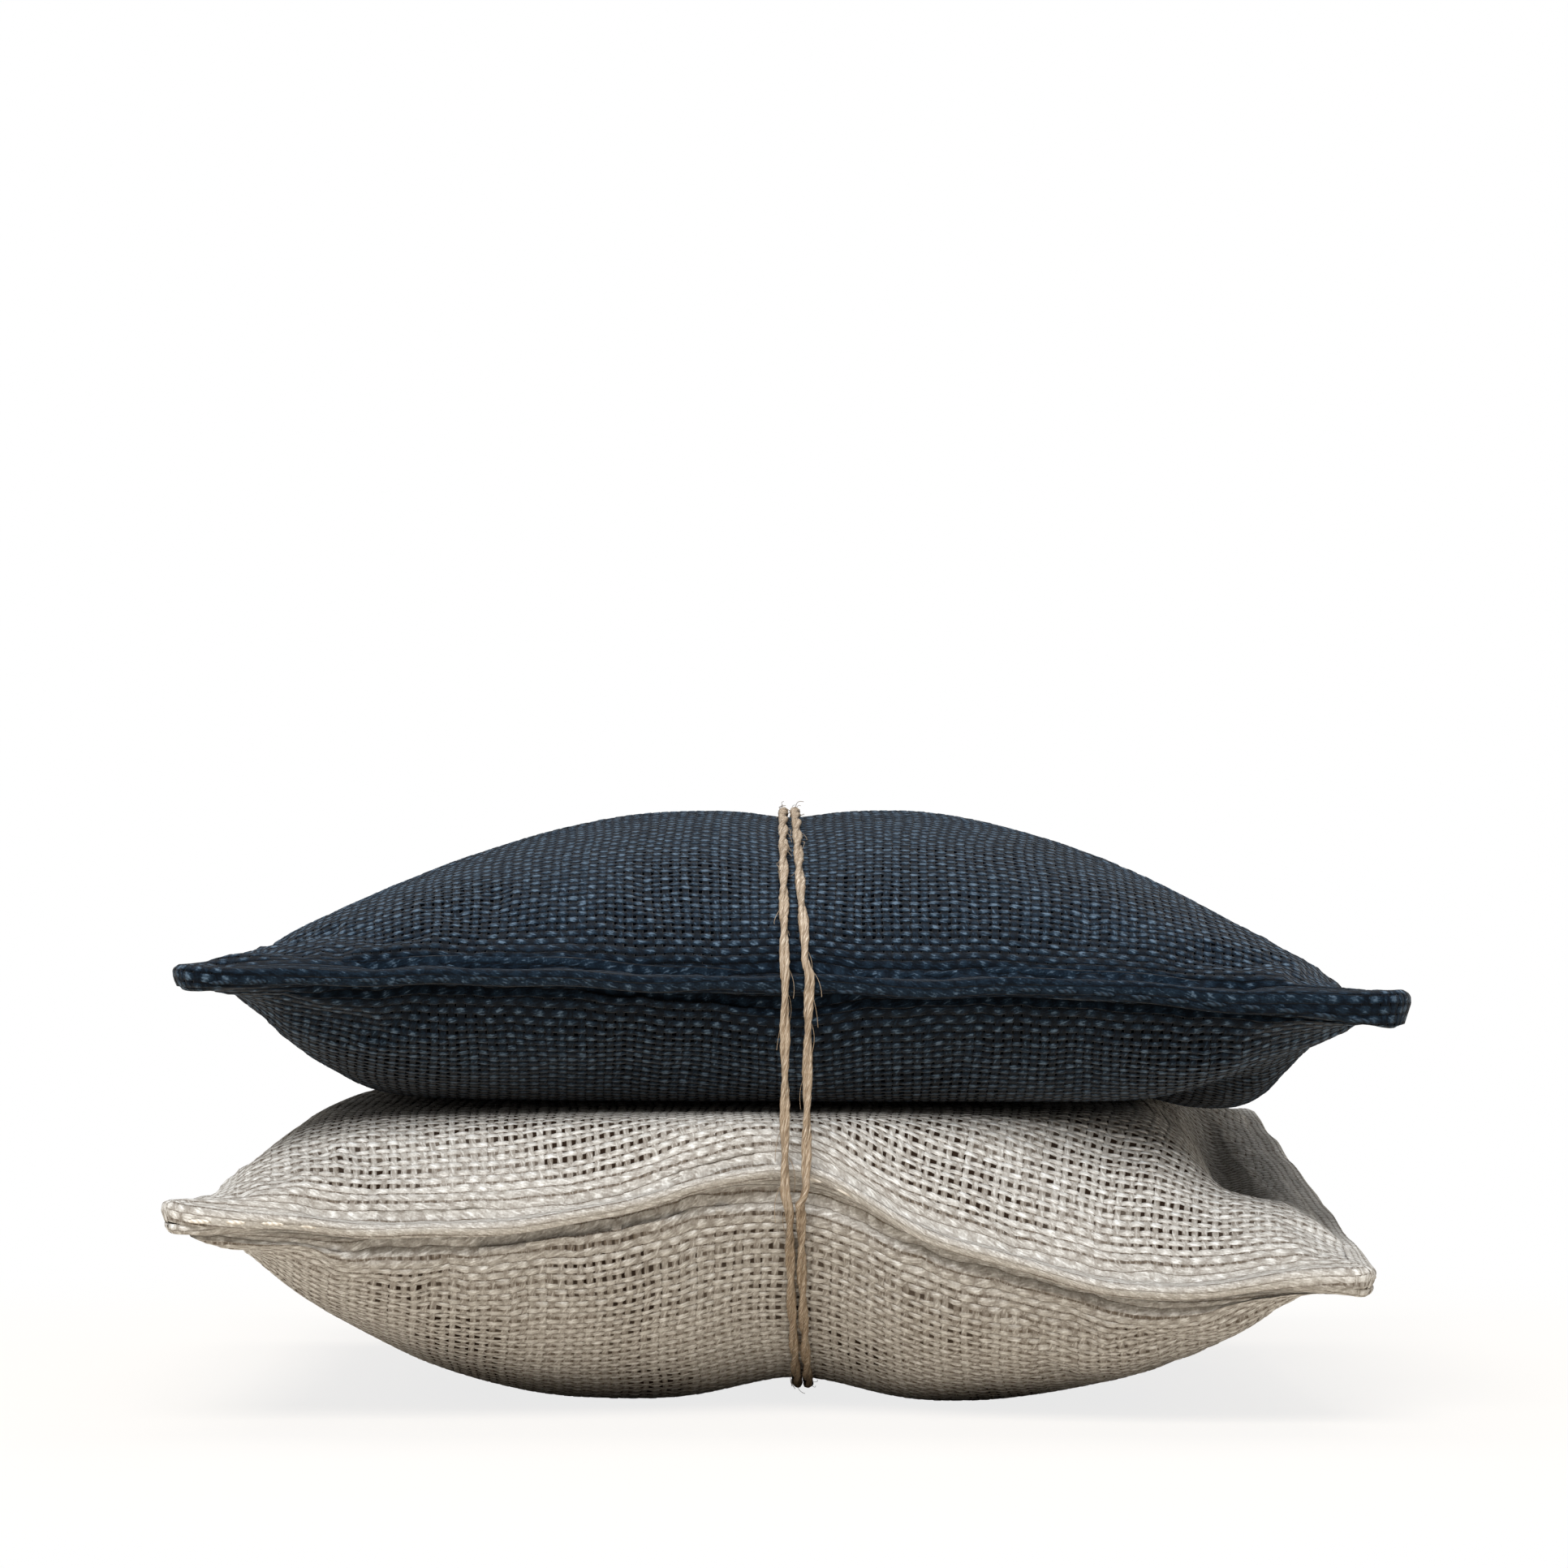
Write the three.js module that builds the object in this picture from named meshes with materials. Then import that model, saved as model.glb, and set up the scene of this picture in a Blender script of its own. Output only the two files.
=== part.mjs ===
// Two linen sachets of dried lavender, laid one on the other and tied with twine.
// Millimetres, +Z up, front towards -Y, the lower sachet resting on z = 0.
import * as THREE from 'three';
import { mergeVertices } from 'three/addons/utils/BufferGeometryUtils.js';

// Cloth, thread and clearances
const GAP = 0.3; // clearance between pieces that touch
const LINEN = 0.45; // outer cloth
const MUSLIN = 0.25; // liner cloth
const HEM = 7; // outer cloth turned in along the seam
const THREAD = 0.35; // sewing thread
const TWINE = 1; // tying twine

// A filled sachet
const SIDE = 100; // side of an empty sachet, laid flat
const WIDE = 0.975; // width of a filled sachet, as a share of SIDE
const DEEP = 0.96; // depth of a filled sachet, as a share of SIDE
const THICK = 25; // height of the face where the two sachets lie on each other
const DRAW_IN = 0.035; // how far the filling draws in the middle of each side
const LIP = 1.5; // flat edge outside the filling
const SOFTEN = 1.6; // rounding where a sachet flattens against the other
const SEAM_SLOT = THREAD + 2 * GAP; // slot between the two hems, with the thread in it
const EDGE = SEAM_SLOT / 2 + 2 * LINEN; // half the height of the sewn edge

// The tie
const TIE_X = 0.1; // middle of the two strands
const STRANDS = 1.56; // distance between the two strands
const SPREAD = 0.8; // how far the strands part at the upper seam
const KNOT_RADIUS = 0.88; // of the two ends twisted round each other
const KNOT_PITCH = 3.5; // height of one twist
const KNOT_TWISTS = 1.5;
const TAIL_LENGTH = 7; // each cut end
const TAIL_RISE = 1.5; // how far the upper end rises first
const PINCH_WIDTH = 9; // width of the notch that the tie pulls into a seam
const RISE_WIDTH = 12; // width of the rise that it pulls into the lower back seam

// Grid lines of the cloth: closer at the tie and at the seams
const ACROSS = [0, 0.045, 0.11, 0.2, 0.34, 0.5, 0.66, 0.79, 0.88, 0.95, 1];
const ALONG = [0, 0.2, 0.4, 0.58, 0.73, 0.84, 0.92, 0.97, 1];
const LINER_LINES = 2; // grid lines left out at each edge for the liner
const FILL_LINES = 3; // and for the filling

// Each corner is a height of the seam over the sachet's base, as a share of THICK, each wave
// [place, rise, width to its left, width to its right] is a rise or fall of the front seam, and
// a bulge is [height, powers to the left and right, bluntness across, power along, bluntness
// along]. The right side hangs down by sag in its middle, and straight is 1 where the filling
// doesn't draw it in.
const NAVY = {
  name: 'navy',
  centre: 0.6,
  taper: 0.066,
  straight: 0,
  sag: 3.2,
  corners: { frontLeft: 0.452, frontRight: 0.332, backRight: 0.372, backLeft: 0.336 },
  base: THICK,
  top: [13.6, [2.22, 2.74], 0.98, 2.1, 0.66],
  bottom: [14.1, [4.3, 4.3], 0.94, 2.3, 0.78],
  pinch: 2,
  frontWaves: [[-18, 0.7, 12, 12], [20, 1, 14, 14]],
  backRise: 0,
  linen: 0x24374b,
  thread: 0x31465b,
};
const NATURAL = {
  name: 'natural',
  centre: -1.2,
  taper: 0.077,
  straight: 1,
  sag: 0,
  corners: { frontLeft: 0.696, frontRight: 0.496, backRight: 0.84, backLeft: 0.624 },
  base: 0,
  top: [15, [3.76, 3.76], 0.99, 2.6, 0.7],
  bottom: [17.1, [2.6, 2.45], 0.9, 2.3, 0.82],
  pinch: 3,
  frontWaves: [[0, 5.4, 15, 10], [29, -2.6, 10, 10], [-32, -0.7, 10, 10]],
  backRise: 3,
  linen: 0xc9bca6,
  thread: 0xdccfb8,
};
const TOP_GROOVE = { depth: 0.7, width: 4.5 }; // under the twine, on the upper sachet
const FOOT_GROOVE = { depth: 1.9, width: 7 }; // under the twine, on the lower sachet
const FOOT_CUT = 0.5; // depth of the flat foot that it rests on
const SAG = { v: 0.05, along: 0.5 }; // place and length of the part of the right side that hangs
const FOLD = { x: 38, lean: 0.04, y: 2, depth: 8.5, inner: 3.8, outer: 9, along: 36 }; // lower right
const CREASE = { from: [46, -45], to: [29, -14], depth: 3.2, width: 4.2 }; // under the upper right
const LOBE = { x: 38, y: 6, hang: 2.2, across: 6.5, along: 22 }; // hangs into the fold

const bell = (x, width) => Math.exp(-((x / width) ** 2));
const lower = (a, b, k) => (a + b - Math.hypot(a - b, k)) / 2;
const upper = (a, b, k) => (a + b + Math.hypot(a - b, k)) / 2;

// 0 on the lip at the edge, 1 in the middle.
function swell(share, power, bluntness) {
  const inside = Math.min(Math.abs(share) / (1 - (2 * LIP) / SIDE), 1);
  return (1 - inside ** power) ** bluntness;
}

// Place on the table of the point (u, v) of a sachet; both run from -1 to 1.
function plan(sachet, u, v) {
  const drawIn = DRAW_IN * (1 - (sachet.straight * (1 + u)) / 2);
  const drawX = (1 - drawIn * (1 - v * v)) * (1 - (sachet.taper * (1 + v)) / 2);
  const x = sachet.centre + (SIDE * WIDE * u * drawX) / 2;
  const drawY = 1 - DRAW_IN * (1 - u * u);
  const pinched = sachet.pinch * bell(x - TIE_X, PINCH_WIDTH) * Math.abs(v) ** 6;
  return [x, (SIDE * DEEP * v * drawY) / 2 - Math.sign(v) * pinched];
}

// Height of the seam, carried on through the middle of the sachet.
function seam(sachet, u, v) {
  const { frontLeft, frontRight, backRight, backLeft } = sachet.corners;
  const a = (u + 1) / 2;
  const b = (v + 1) / 2;
  const front = frontLeft + (frontRight - frontLeft) * a;
  const back = backLeft + (backRight - backLeft) * a;
  const [x] = plan(sachet, u, v);
  let wave = sachet.backRise * bell(x - TIE_X, RISE_WIDTH) * b ** 4;
  wave -= sachet.sag * bell(v - SAG.v, SAG.along) * a ** 6;
  for (const [at, rise, left, right] of sachet.frontWaves) {
    wave += rise * bell(x - at, x < at ? left : right) * (1 - b) ** 4;
  }
  return sachet.base + THICK * (front + (back - front) * b) + wave;
}

function bulge([height, powersX, bluntX, powerY, bluntY], u, v) {
  return height * swell(u, powersX[u < 0 ? 0 : 1], bluntX) * swell(v, powerY, bluntY);
}

// Depth of the hollow along the right side of the lower sachet, steep towards its middle.
function fold(x, y) {
  const off = x - FOLD.x - FOLD.lean * y;
  const across = bell(off, off < 0 ? FOLD.inner : FOLD.outer);
  return FOLD.depth * across * Math.exp(-(((y - FOLD.y) / FOLD.along) ** 4));
}

// Rise of the upper sachet's lower face: the crease lifts it, and the lobe hangs from it.
function creased(x, y) {
  const [x0, y0] = CREASE.from;
  const [dx, dy] = [CREASE.to[0] - x0, CREASE.to[1] - y0];
  const run = Math.hypot(dx, dy);
  const along = ((x - x0) * dx + (y - y0) * dy) / run ** 2;
  const off = ((x - x0) * dy - (y - y0) * dx) / run;
  const dent = CREASE.depth * bell(off, CREASE.width) * bell(along - 0.5, 0.45);
  return dent - LOBE.hang * bell(x - LOBE.x, LOBE.across) * bell(y - LOBE.y, LOBE.along);
}

// Outer face of a sachet; side is 1 for the top and -1 for the bottom.
function face(sachet, side, u, v) {
  const [x, y] = plan(sachet, u, v);
  const form = side > 0 ? sachet.top : sachet.bottom;
  const rise = bulge(form, u, v);
  const share = rise / form[0];
  const z = seam(sachet, u, v) + side * (EDGE + rise);
  if (sachet === NAVY && side > 0) {
    return z - TOP_GROOVE.depth * bell(x - TIE_X, TOP_GROOVE.width) * share;
  }
  if (sachet === NAVY) {
    return upper(z, THICK + GAP / 2, SOFTEN) + creased(x, y) * Math.min(2 * share, 1);
  }
  if (side > 0) {
    return lower(z, THICK - GAP / 2, SOFTEN) - fold(x, y) * Math.min(2 * share, 1);
  }
  const groove = FOOT_GROOVE.depth * bell(x - TIE_X - 1, FOOT_GROOVE.width) * Math.min(3 * share, 1);
  return Math.max(upper(z, 0, SOFTEN / 2) + groove - FOOT_CUT, 0);
}

// How much a thickness grows when it is measured upright on a sloping face.
function slant(sachet, side, u, v) {
  if (Math.max(Math.abs(u), Math.abs(v)) >= 1) {
    return 1;
  }
  const step = 0.01;
  const across = face(sachet, side, u + step, v) - face(sachet, side, u - step, v);
  const along = face(sachet, side, u, v + step) - face(sachet, side, u, v - step);
  const steep = Math.hypot(across, along) / (step * SIDE * DEEP);
  return Math.hypot(1, Math.min(steep, 2));
}

// Half way between the two outer faces; this is the seam at the edges.
function middle(sachet, u, v) {
  return (face(sachet, 1, u, v) + face(sachet, -1, u, v)) / 2;
}

// Inside of a panel, which is double where the hem is turned in.
function panelInside(sachet, side, u, v) {
  const toEdge = ((1 - Math.max(Math.abs(u), Math.abs(v))) * SIDE * DEEP) / 2;
  const depth = toEdge < HEM ? 2 * LINEN : LINEN;
  const z = face(sachet, side, u, v) - side * depth * slant(sachet, side, u, v);
  const slot = middle(sachet, u, v) + (side * SEAM_SLOT) / 2;
  return side > 0 ? Math.max(z, slot) : Math.min(z, slot);
}

// A layer that lies a given depth inside the panel.
function layer(sachet, side, u, v, depth) {
  return panelInside(sachet, side, u, v) - side * depth * slant(sachet, side, u, v);
}

const mirrored = (lines) => [...lines.slice(1).reverse().map((t) => -t), ...lines];

// Closed body between two heights over a grid of (u, v), less some lines at its edges.
function slab(sachet, skip, high, low) {
  const us = mirrored(ACROSS.slice(0, ACROSS.length - skip));
  const vs = mirrored(ALONG.slice(0, ALONG.length - skip));
  const places = [];
  for (const height of [high, low]) {
    for (const v of vs) {
      for (const u of us) {
        places.push(...plan(sachet, u, v), height(u, v));
      }
    }
  }
  const layerSize = us.length * vs.length;
  const at = (i, j, under) => j * us.length + i + (under ? layerSize : 0);
  const index = [];
  const quad = (a, b, c, d) => index.push(a, b, c, a, c, d);
  const lastU = us.length - 1;
  const lastV = vs.length - 1;
  for (let j = 0; j < lastV; j++) {
    for (let i = 0; i < lastU; i++) {
      quad(at(i, j), at(i + 1, j), at(i + 1, j + 1), at(i, j + 1));
      quad(at(i, j, 1), at(i, j + 1, 1), at(i + 1, j + 1, 1), at(i + 1, j, 1));
    }
    quad(at(0, j), at(0, j + 1), at(0, j + 1, 1), at(0, j, 1));
    quad(at(lastU, j + 1), at(lastU, j), at(lastU, j, 1), at(lastU, j + 1, 1));
  }
  for (let i = 0; i < lastU; i++) {
    quad(at(i + 1, 0), at(i, 0), at(i, 0, 1), at(i + 1, 0, 1));
    quad(at(i, lastV), at(i + 1, lastV), at(i + 1, lastV, 1), at(i, lastV, 1));
  }
  const geometry = new THREE.BufferGeometry();
  geometry.setAttribute('position', new THREE.Float32BufferAttribute(places, 3));
  geometry.setIndex(index);
  return geometry;
}

// One linen panel, from its outer face to the inside of its hem.
function panel(sachet, side) {
  const outer = (u, v) => face(sachet, side, u, v);
  const inner = (u, v) => panelInside(sachet, side, u, v);
  return side > 0 ? slab(sachet, 0, outer, inner) : slab(sachet, 0, inner, outer);
}

// One half of the muslin liner; its rim lies on the rim of the other half.
function liner(sachet, side) {
  const rimU = ACROSS[ACROSS.length - 1 - LINER_LINES];
  const rimV = ALONG[ALONG.length - 1 - LINER_LINES];
  const height = (thick) => (u, v) => {
    if (Math.abs(u) >= rimU || Math.abs(v) >= rimV) {
      return middle(sachet, u, v) + side * (GAP / 2 + MUSLIN - thick);
    }
    return layer(sachet, side, u, v, GAP + thick);
  };
  const [outer, inner] = [height(0), height(MUSLIN)];
  return side > 0 ? slab(sachet, LINER_LINES, outer, inner) : slab(sachet, LINER_LINES, inner, outer);
}

// The buds, as one body that fills the liner.
function filling(sachet) {
  const depth = MUSLIN + 2 * GAP;
  const high = (u, v) => layer(sachet, 1, u, v, depth);
  const low = (u, v) => layer(sachet, -1, u, v, depth);
  return slab(sachet, FILL_LINES, high, low);
}

// A route through given points, with one step of the tube to each point.
class Route extends THREE.Curve {
  constructor(points) {
    super();
    this.points = points;
  }

  getPoint(t, target = new THREE.Vector3()) {
    const place = t * (this.points.length - 1);
    const i = Math.min(Math.floor(place), this.points.length - 2);
    return target.lerpVectors(this.points[i], this.points[i + 1], place - i);
  }

  getPointAt(t, target) {
    return this.getPoint(t, target);
  }

  getTangentAt(t, target = new THREE.Vector3()) {
    const step = 1 / (this.points.length - 1);
    const before = this.getPoint(Math.max(t - step, 0));
    const after = this.getPoint(Math.min(t + step, 1));
    return target.subVectors(after, before).normalize();
  }
}

function tube(points, diameter, sides) {
  const section = new THREE.Shape();
  for (let i = 0; i < sides; i++) {
    const angle = (2 * Math.PI * i) / sides;
    const corner = [(Math.cos(angle) * diameter) / 2, (Math.sin(angle) * diameter) / 2];
    section[i === 0 ? 'moveTo' : 'lineTo'](...corner);
  }
  section.closePath();
  const route = new Route(points);
  return new THREE.ExtrudeGeometry(section, { steps: points.length - 1, extrudePath: route });
}

// Edge stitching: one thread in the slot between the hems, begun and ended at the back.
function edgeThread(sachet) {
  const inset = 1 - (2 * (THREAD / 2 + GAP)) / SIDE;
  const stops = mirrored(ACROSS);
  const sides = mirrored(ALONG);
  const round = [];
  const backHalf = stops.filter((u) => u > 0.02);
  backHalf.forEach((u) => round.push([u, 1]));
  sides.slice(0, -1).reverse().forEach((v) => round.push([1, v]));
  stops.slice(0, -1).reverse().forEach((u) => round.push([u, -1]));
  sides.slice(1).forEach((v) => round.push([-1, v]));
  stops.slice(1).filter((u) => u < -0.02).forEach((u) => round.push([u, 1]));
  const points = round.map(([u, v]) => {
    const [x, y] = plan(sachet, u * inset, v * inset);
    return new THREE.Vector3(x, y, seam(sachet, u * inset, v * inset));
  });
  return tube(points, THREAD, 5);
}

// Outline of both sachets in the upright plane at x, as points [y, z].
function outlineAt(x) {
  const outline = [];
  for (const sachet of [NAVY, NATURAL]) {
    const u = (2 * (x - sachet.centre)) / (SIDE * WIDE);
    for (let v = -1; v <= 1.001; v += 0.04) {
      const y = plan(sachet, u, v)[1];
      outline.push([y, face(sachet, 1, u, v)], [y, face(sachet, -1, u, v)]);
    }
  }
  return outline;
}

// Where taut twine at x lies when it faces a direction: 0 is the back, 90 the top.
function tautPoint(x, degrees) {
  const angle = THREE.MathUtils.degToRad(degrees);
  const [dy, dz] = [Math.cos(angle), Math.sin(angle)];
  let best = null;
  for (const [y, z] of outlineAt(x)) {
    const reach = y * dy + z * dz;
    if (!best || reach > best.reach) {
      best = { reach, y, z };
    }
  }
  const off = TWINE / 2 + GAP;
  return new THREE.Vector3(x, best.y + dy * off, best.z + dz * off);
}

// One turn of twine, from the back over the top and under to the back again.
function turn(side) {
  const points = [];
  for (let degrees = 20; degrees <= 340; degrees += 6.4) {
    const parted = side > 0 ? SPREAD * bell(degrees - 150, 40) : 0;
    points.push(tautPoint(TIE_X + (side * STRANDS) / 2 + parted, degrees));
  }
  return points;
}

// One end through the knot, upwards; phase 0 enters on the side of the sachets.
function twist(axis, phase) {
  const points = [];
  const height = KNOT_PITCH * KNOT_TWISTS;
  for (let i = 0; i <= 18; i++) {
    const share = i / 18;
    const angle = phase + share * KNOT_TWISTS * 2 * Math.PI;
    points.push(new THREE.Vector3(
      axis.x + Math.sin(angle) * KNOT_RADIUS,
      axis.y - Math.cos(angle) * KNOT_RADIUS,
      axis.z + (share - 0.5) * height,
    ));
  }
  return points;
}

// A cut end that leaves the knot at a point and droops to one side.
function tail(from, side, rise) {
  return [0.2, 0.45, 0.7, 1].map((share) => new THREE.Vector3(
    from.x + side * TAIL_LENGTH * 0.75 * share,
    from.y + TAIL_LENGTH * 0.08 * share,
    from.z + rise * share - TAIL_LENGTH * 0.3 * share * share,
  ));
}

// The right turn comes first; behind the knot the twine passes over to the left turn.
function twineRoute() {
  const [right, left] = [turn(1), turn(-1)];
  const [rightEnd, leftEnd] = [right[right.length - 1], left[left.length - 1]];
  const axis = right[0].clone().add(left[0]).add(rightEnd).add(leftEnd).divideScalar(4);
  const behind = [[rightEnd.x, -1], [left[0].x, 1]].map(
    ([x, side]) => new THREE.Vector3(x, axis.y, axis.z + (side * KNOT_PITCH) / 2),
  );
  axis.y += TWINE + 2 * GAP + KNOT_RADIUS;
  const first = twist(axis, Math.PI);
  const last = twist(axis, 0);
  const start = tail(first[0], -1, 0).reverse();
  const end = tail(last[last.length - 1], 1, TAIL_RISE);
  return [...start, ...first, ...right, ...behind, ...left, ...last, ...end];
}

// Least clear distance between parts of the twine that are not next to each other.
function leastGap(points) {
  const fine = [];
  let run = 0;
  for (let i = 1; i < points.length; i++) {
    const length = points[i].distanceTo(points[i - 1]);
    const parts = Math.ceil(length / 0.5);
    for (let k = 0; k < parts; k++) {
      const place = points[i - 1].clone().lerp(points[i], k / parts);
      fine.push({ place, run: run + (length * k) / parts });
    }
    run += length;
  }
  let least = Infinity;
  for (let i = 0; i < fine.length; i++) {
    for (let j = i + 1; j < fine.length; j++) {
      if (fine[j].run - fine[i].run > 3 * TWINE) {
        least = Math.min(least, fine[i].place.distanceTo(fine[j].place) - TWINE);
      }
    }
  }
  return { least, run };
}

function piece(name, geometry, color, roughness) {
  geometry.deleteAttribute('normal');
  geometry.deleteAttribute('uv');
  const closed = mergeVertices(geometry);
  closed.computeVertexNormals();
  const material = new THREE.MeshStandardMaterial({ color, roughness, metalness: 0 });
  const mesh = new THREE.Mesh(closed, material);
  mesh.name = name;
  return mesh;
}

const pair = new THREE.Group();
pair.name = 'tied_sachet_pair';

for (const sachet of [NAVY, NATURAL]) {
  const { name, linen, thread } = sachet;
  pair.add(piece(`${name}_top_panel`, panel(sachet, 1), linen, 0.9));
  pair.add(piece(`${name}_bottom_panel`, panel(sachet, -1), linen, 0.9));
  pair.add(piece(`${name}_edge_thread`, edgeThread(sachet), thread, 0.8));
  pair.add(piece(`${name}_liner_top`, liner(sachet, 1), 0xeee8dc, 0.95));
  pair.add(piece(`${name}_liner_bottom`, liner(sachet, -1), 0xeee8dc, 0.95));
  pair.add(piece(`${name}_lavender`, filling(sachet), 0x6f6488, 0.95));
}

const route = twineRoute();
const { least, run } = leastGap(route);
console.log(`twine: ${run.toFixed(0)} mm long, least gap to itself ${least.toFixed(2)} mm`);
pair.add(piece('twine', tube(route, TWINE, 6), 0xc3a878, 0.9));

export default pair;
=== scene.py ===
# %% [markdown]
# # A tied pair of lavender sachets
#
# The object is two filled linen sachets, a navy one on a natural one, tied together with twine.
# The solids of the part come from CAD and are loaded here as a fixed frame. This lesson dresses
# them: woven cloth, stitched seams, twisted twine, and the liner and buds inside. Every length is
# written in millimetres and turned to metres when a mesh is made.

# %% Load the frame
import math

import bpy
import numpy as np
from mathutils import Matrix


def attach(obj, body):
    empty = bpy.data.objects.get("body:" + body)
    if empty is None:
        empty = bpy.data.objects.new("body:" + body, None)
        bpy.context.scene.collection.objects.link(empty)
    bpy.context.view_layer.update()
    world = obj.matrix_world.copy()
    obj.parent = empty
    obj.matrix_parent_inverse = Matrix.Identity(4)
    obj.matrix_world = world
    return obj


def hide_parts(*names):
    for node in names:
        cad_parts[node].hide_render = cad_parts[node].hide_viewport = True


MM = 0.001
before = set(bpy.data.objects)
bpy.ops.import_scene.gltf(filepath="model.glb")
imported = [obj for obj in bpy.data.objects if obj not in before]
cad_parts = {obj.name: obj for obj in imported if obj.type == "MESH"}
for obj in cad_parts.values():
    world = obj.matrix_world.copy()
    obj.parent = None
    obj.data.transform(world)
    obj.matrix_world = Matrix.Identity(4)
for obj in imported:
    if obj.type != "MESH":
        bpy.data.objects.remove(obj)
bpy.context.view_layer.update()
print("solids:", sorted(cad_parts))

# %% [markdown]
# ## Camera
#
# The photograph looks at the front from about as high as the top of the pair, and from a little
# over half a metre. A level camera there gives that view and keeps uprights upright. The focal
# length follows from how many pixels one millimetre takes up at the front corners.

# %% Camera
PIXELS = 1932  # width and height of the photograph
PIXELS_PER_MM = 15.5  # at the front corners
STAND_OFF = 573.6  # mm from the camera to the front corners
FRONT = -48.0  # mm, where the front corners are
EYE_HEIGHT = 51.5  # mm above the table
SENSOR = 36.0  # mm

camera_data = bpy.data.cameras.new("camera")
camera_data.sensor_width = SENSOR
camera_data.lens = SENSOR * PIXELS_PER_MM * STAND_OFF / PIXELS
camera = bpy.data.objects.new("camera", camera_data)
camera.location = (0.0, (FRONT - STAND_OFF) * MM, EYE_HEIGHT * MM)
camera.rotation_euler = (math.radians(90.0), 0.0, 0.0)
bpy.context.scene.collection.objects.link(camera)
bpy.context.scene.camera = camera
print("lens", round(camera_data.lens, 1), "mm")

# %% [markdown]
# ## The rule of a filled sachet
#
# A filled square pouch has a flat sewn edge, a belly that swells fast behind it, and sides that
# the filling draws in. A formula says all this with a few numbers, and the solids use the same
# one, so the cloth made here lies where they are. Points are named by (u, v), both from -1 to 1.

# %% Sizes shared with the solids
GAP = 0.3  # between two pieces
LINEN, THREAD, TWINE = 0.45, 0.35, 1.0  # how thick each is
SIDE, THICK = 100.0, 25.0  # of one sachet, laid flat and filled
WIDE, DEEP = 0.975, 0.96  # share of the side that is left when it is filled
DRAW_IN = 0.035  # share by which the filling draws the sides in
LIP, SOFTEN = 1.5, 1.6  # width of the flat edge, and rounding where two faces meet
EDGE = THREAD / 2 + GAP + 2 * LINEN  # half the height of a sewn edge
TIE_X = 0.1  # where the twine goes round
PINCH_WIDTH, RISE_WIDTH = 9.0, 12.0  # how wide it pinches the edges and lifts the back seam
TOP_GROOVE = dict(depth=0.7, width=4.5)
FOOT_GROOVE = dict(depth=1.9, width=7.0)
FOOT_CUT = 0.5  # what is pressed flat on the table
# fold at the right end of the lower sachet; crease, lobe and sagging seam at that of the upper one
FOLD = dict(x=38.0, lean=0.04, y=2.0, depth=8.5, inner=3.8, outer=9.0, along=36.0)
CREASE = dict(start=(46.0, -45.0), end=(29.0, -14.0), depth=3.2, width=4.2, run=0.45)
LOBE = dict(x=38.0, y=6.0, hang=2.2, across=6.5, along=22.0)
SAG = dict(drop=3.2, v=0.05, along=0.5)

# corners: height as a share of the thickness, from the front left one round to the back left one
# top, bottom: height, powers to the left and right, bluntness across, power and bluntness along
# taper: how much narrower the back is; straight: how much the right side is not drawn in
# pinch, back_rise: how far the twine draws the edges in and lifts the back seam
# waves: where the front seam rises, how much, and how wide to the left and right
# hem: how much thicker than the solids', how far its face falls, its lean, radius at the corner
# recess: how far back the lower hem lies, in falls; finger: how far a corner stands out
NAVY = dict(
    name="navy", centre=0.6, taper=0.066, straight=0.0, base=THICK,
    corners=(0.452, 0.332, 0.372, 0.336),
    top=(13.6, (2.22, 2.74), 0.98, 2.1, 0.66), bottom=(14.1, (4.3, 4.3), 0.94, 2.3, 0.78),
    pinch=2.0, waves=((-18, 0.7, 12, 12), (20, 1.0, 14, 14)), back_rise=0.0,
    hem_left=(-0.3, 0.9, 118, 0.7), hem_right=(0.5, 1.8, 102, 0.9), recess=1.0, finger=1.0,
)
NATURAL = dict(
    name="natural", centre=-1.2, taper=0.077, straight=1.0, base=0.0,
    corners=(0.696, 0.496, 0.84, 0.624),
    top=(15.0, (3.76, 3.76), 0.99, 2.6, 0.7), bottom=(17.1, (2.6, 2.45), 0.9, 2.3, 0.82),
    pinch=3.0, waves=((0, 5.4, 15, 10), (29, -2.6, 10, 10), (-32, -0.7, 10, 10)), back_rise=3.0,
    hem_left=(-0.3, 0.85, 135, 0.7), hem_right=(-0.3, 0.85, 135, 0.7), recess=1.2, finger=0.0,
)
print("sewn edge", round(2 * EDGE, 2), "mm high")

# %% [markdown]
# ## The seam
#
# Seen from above the sachet is a square with hollow sides, narrower at the back and pinched by the
# twine. Its seam is not level: it goes from corner to corner, and waves along the front edge.


# %% Place of a point on the table, and height of the seam
def bell(x, width):
    return np.exp(-((x / width) ** 2))


def plan(sachet, u, v):
    draw_in = DRAW_IN * (1 - sachet["straight"] * (1 + u) / 2)
    draw_x = (1 - draw_in * (1 - v * v)) * (1 - sachet["taper"] * (1 + v) / 2)
    x = sachet["centre"] + SIDE * WIDE * u * draw_x / 2
    pinched = sachet["pinch"] * bell(x - TIE_X, PINCH_WIDTH) * np.abs(v) ** 6
    y = SIDE * DEEP * v * (1 - DRAW_IN * (1 - u * u)) / 2 - np.sign(v) * pinched
    return x, y


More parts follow.
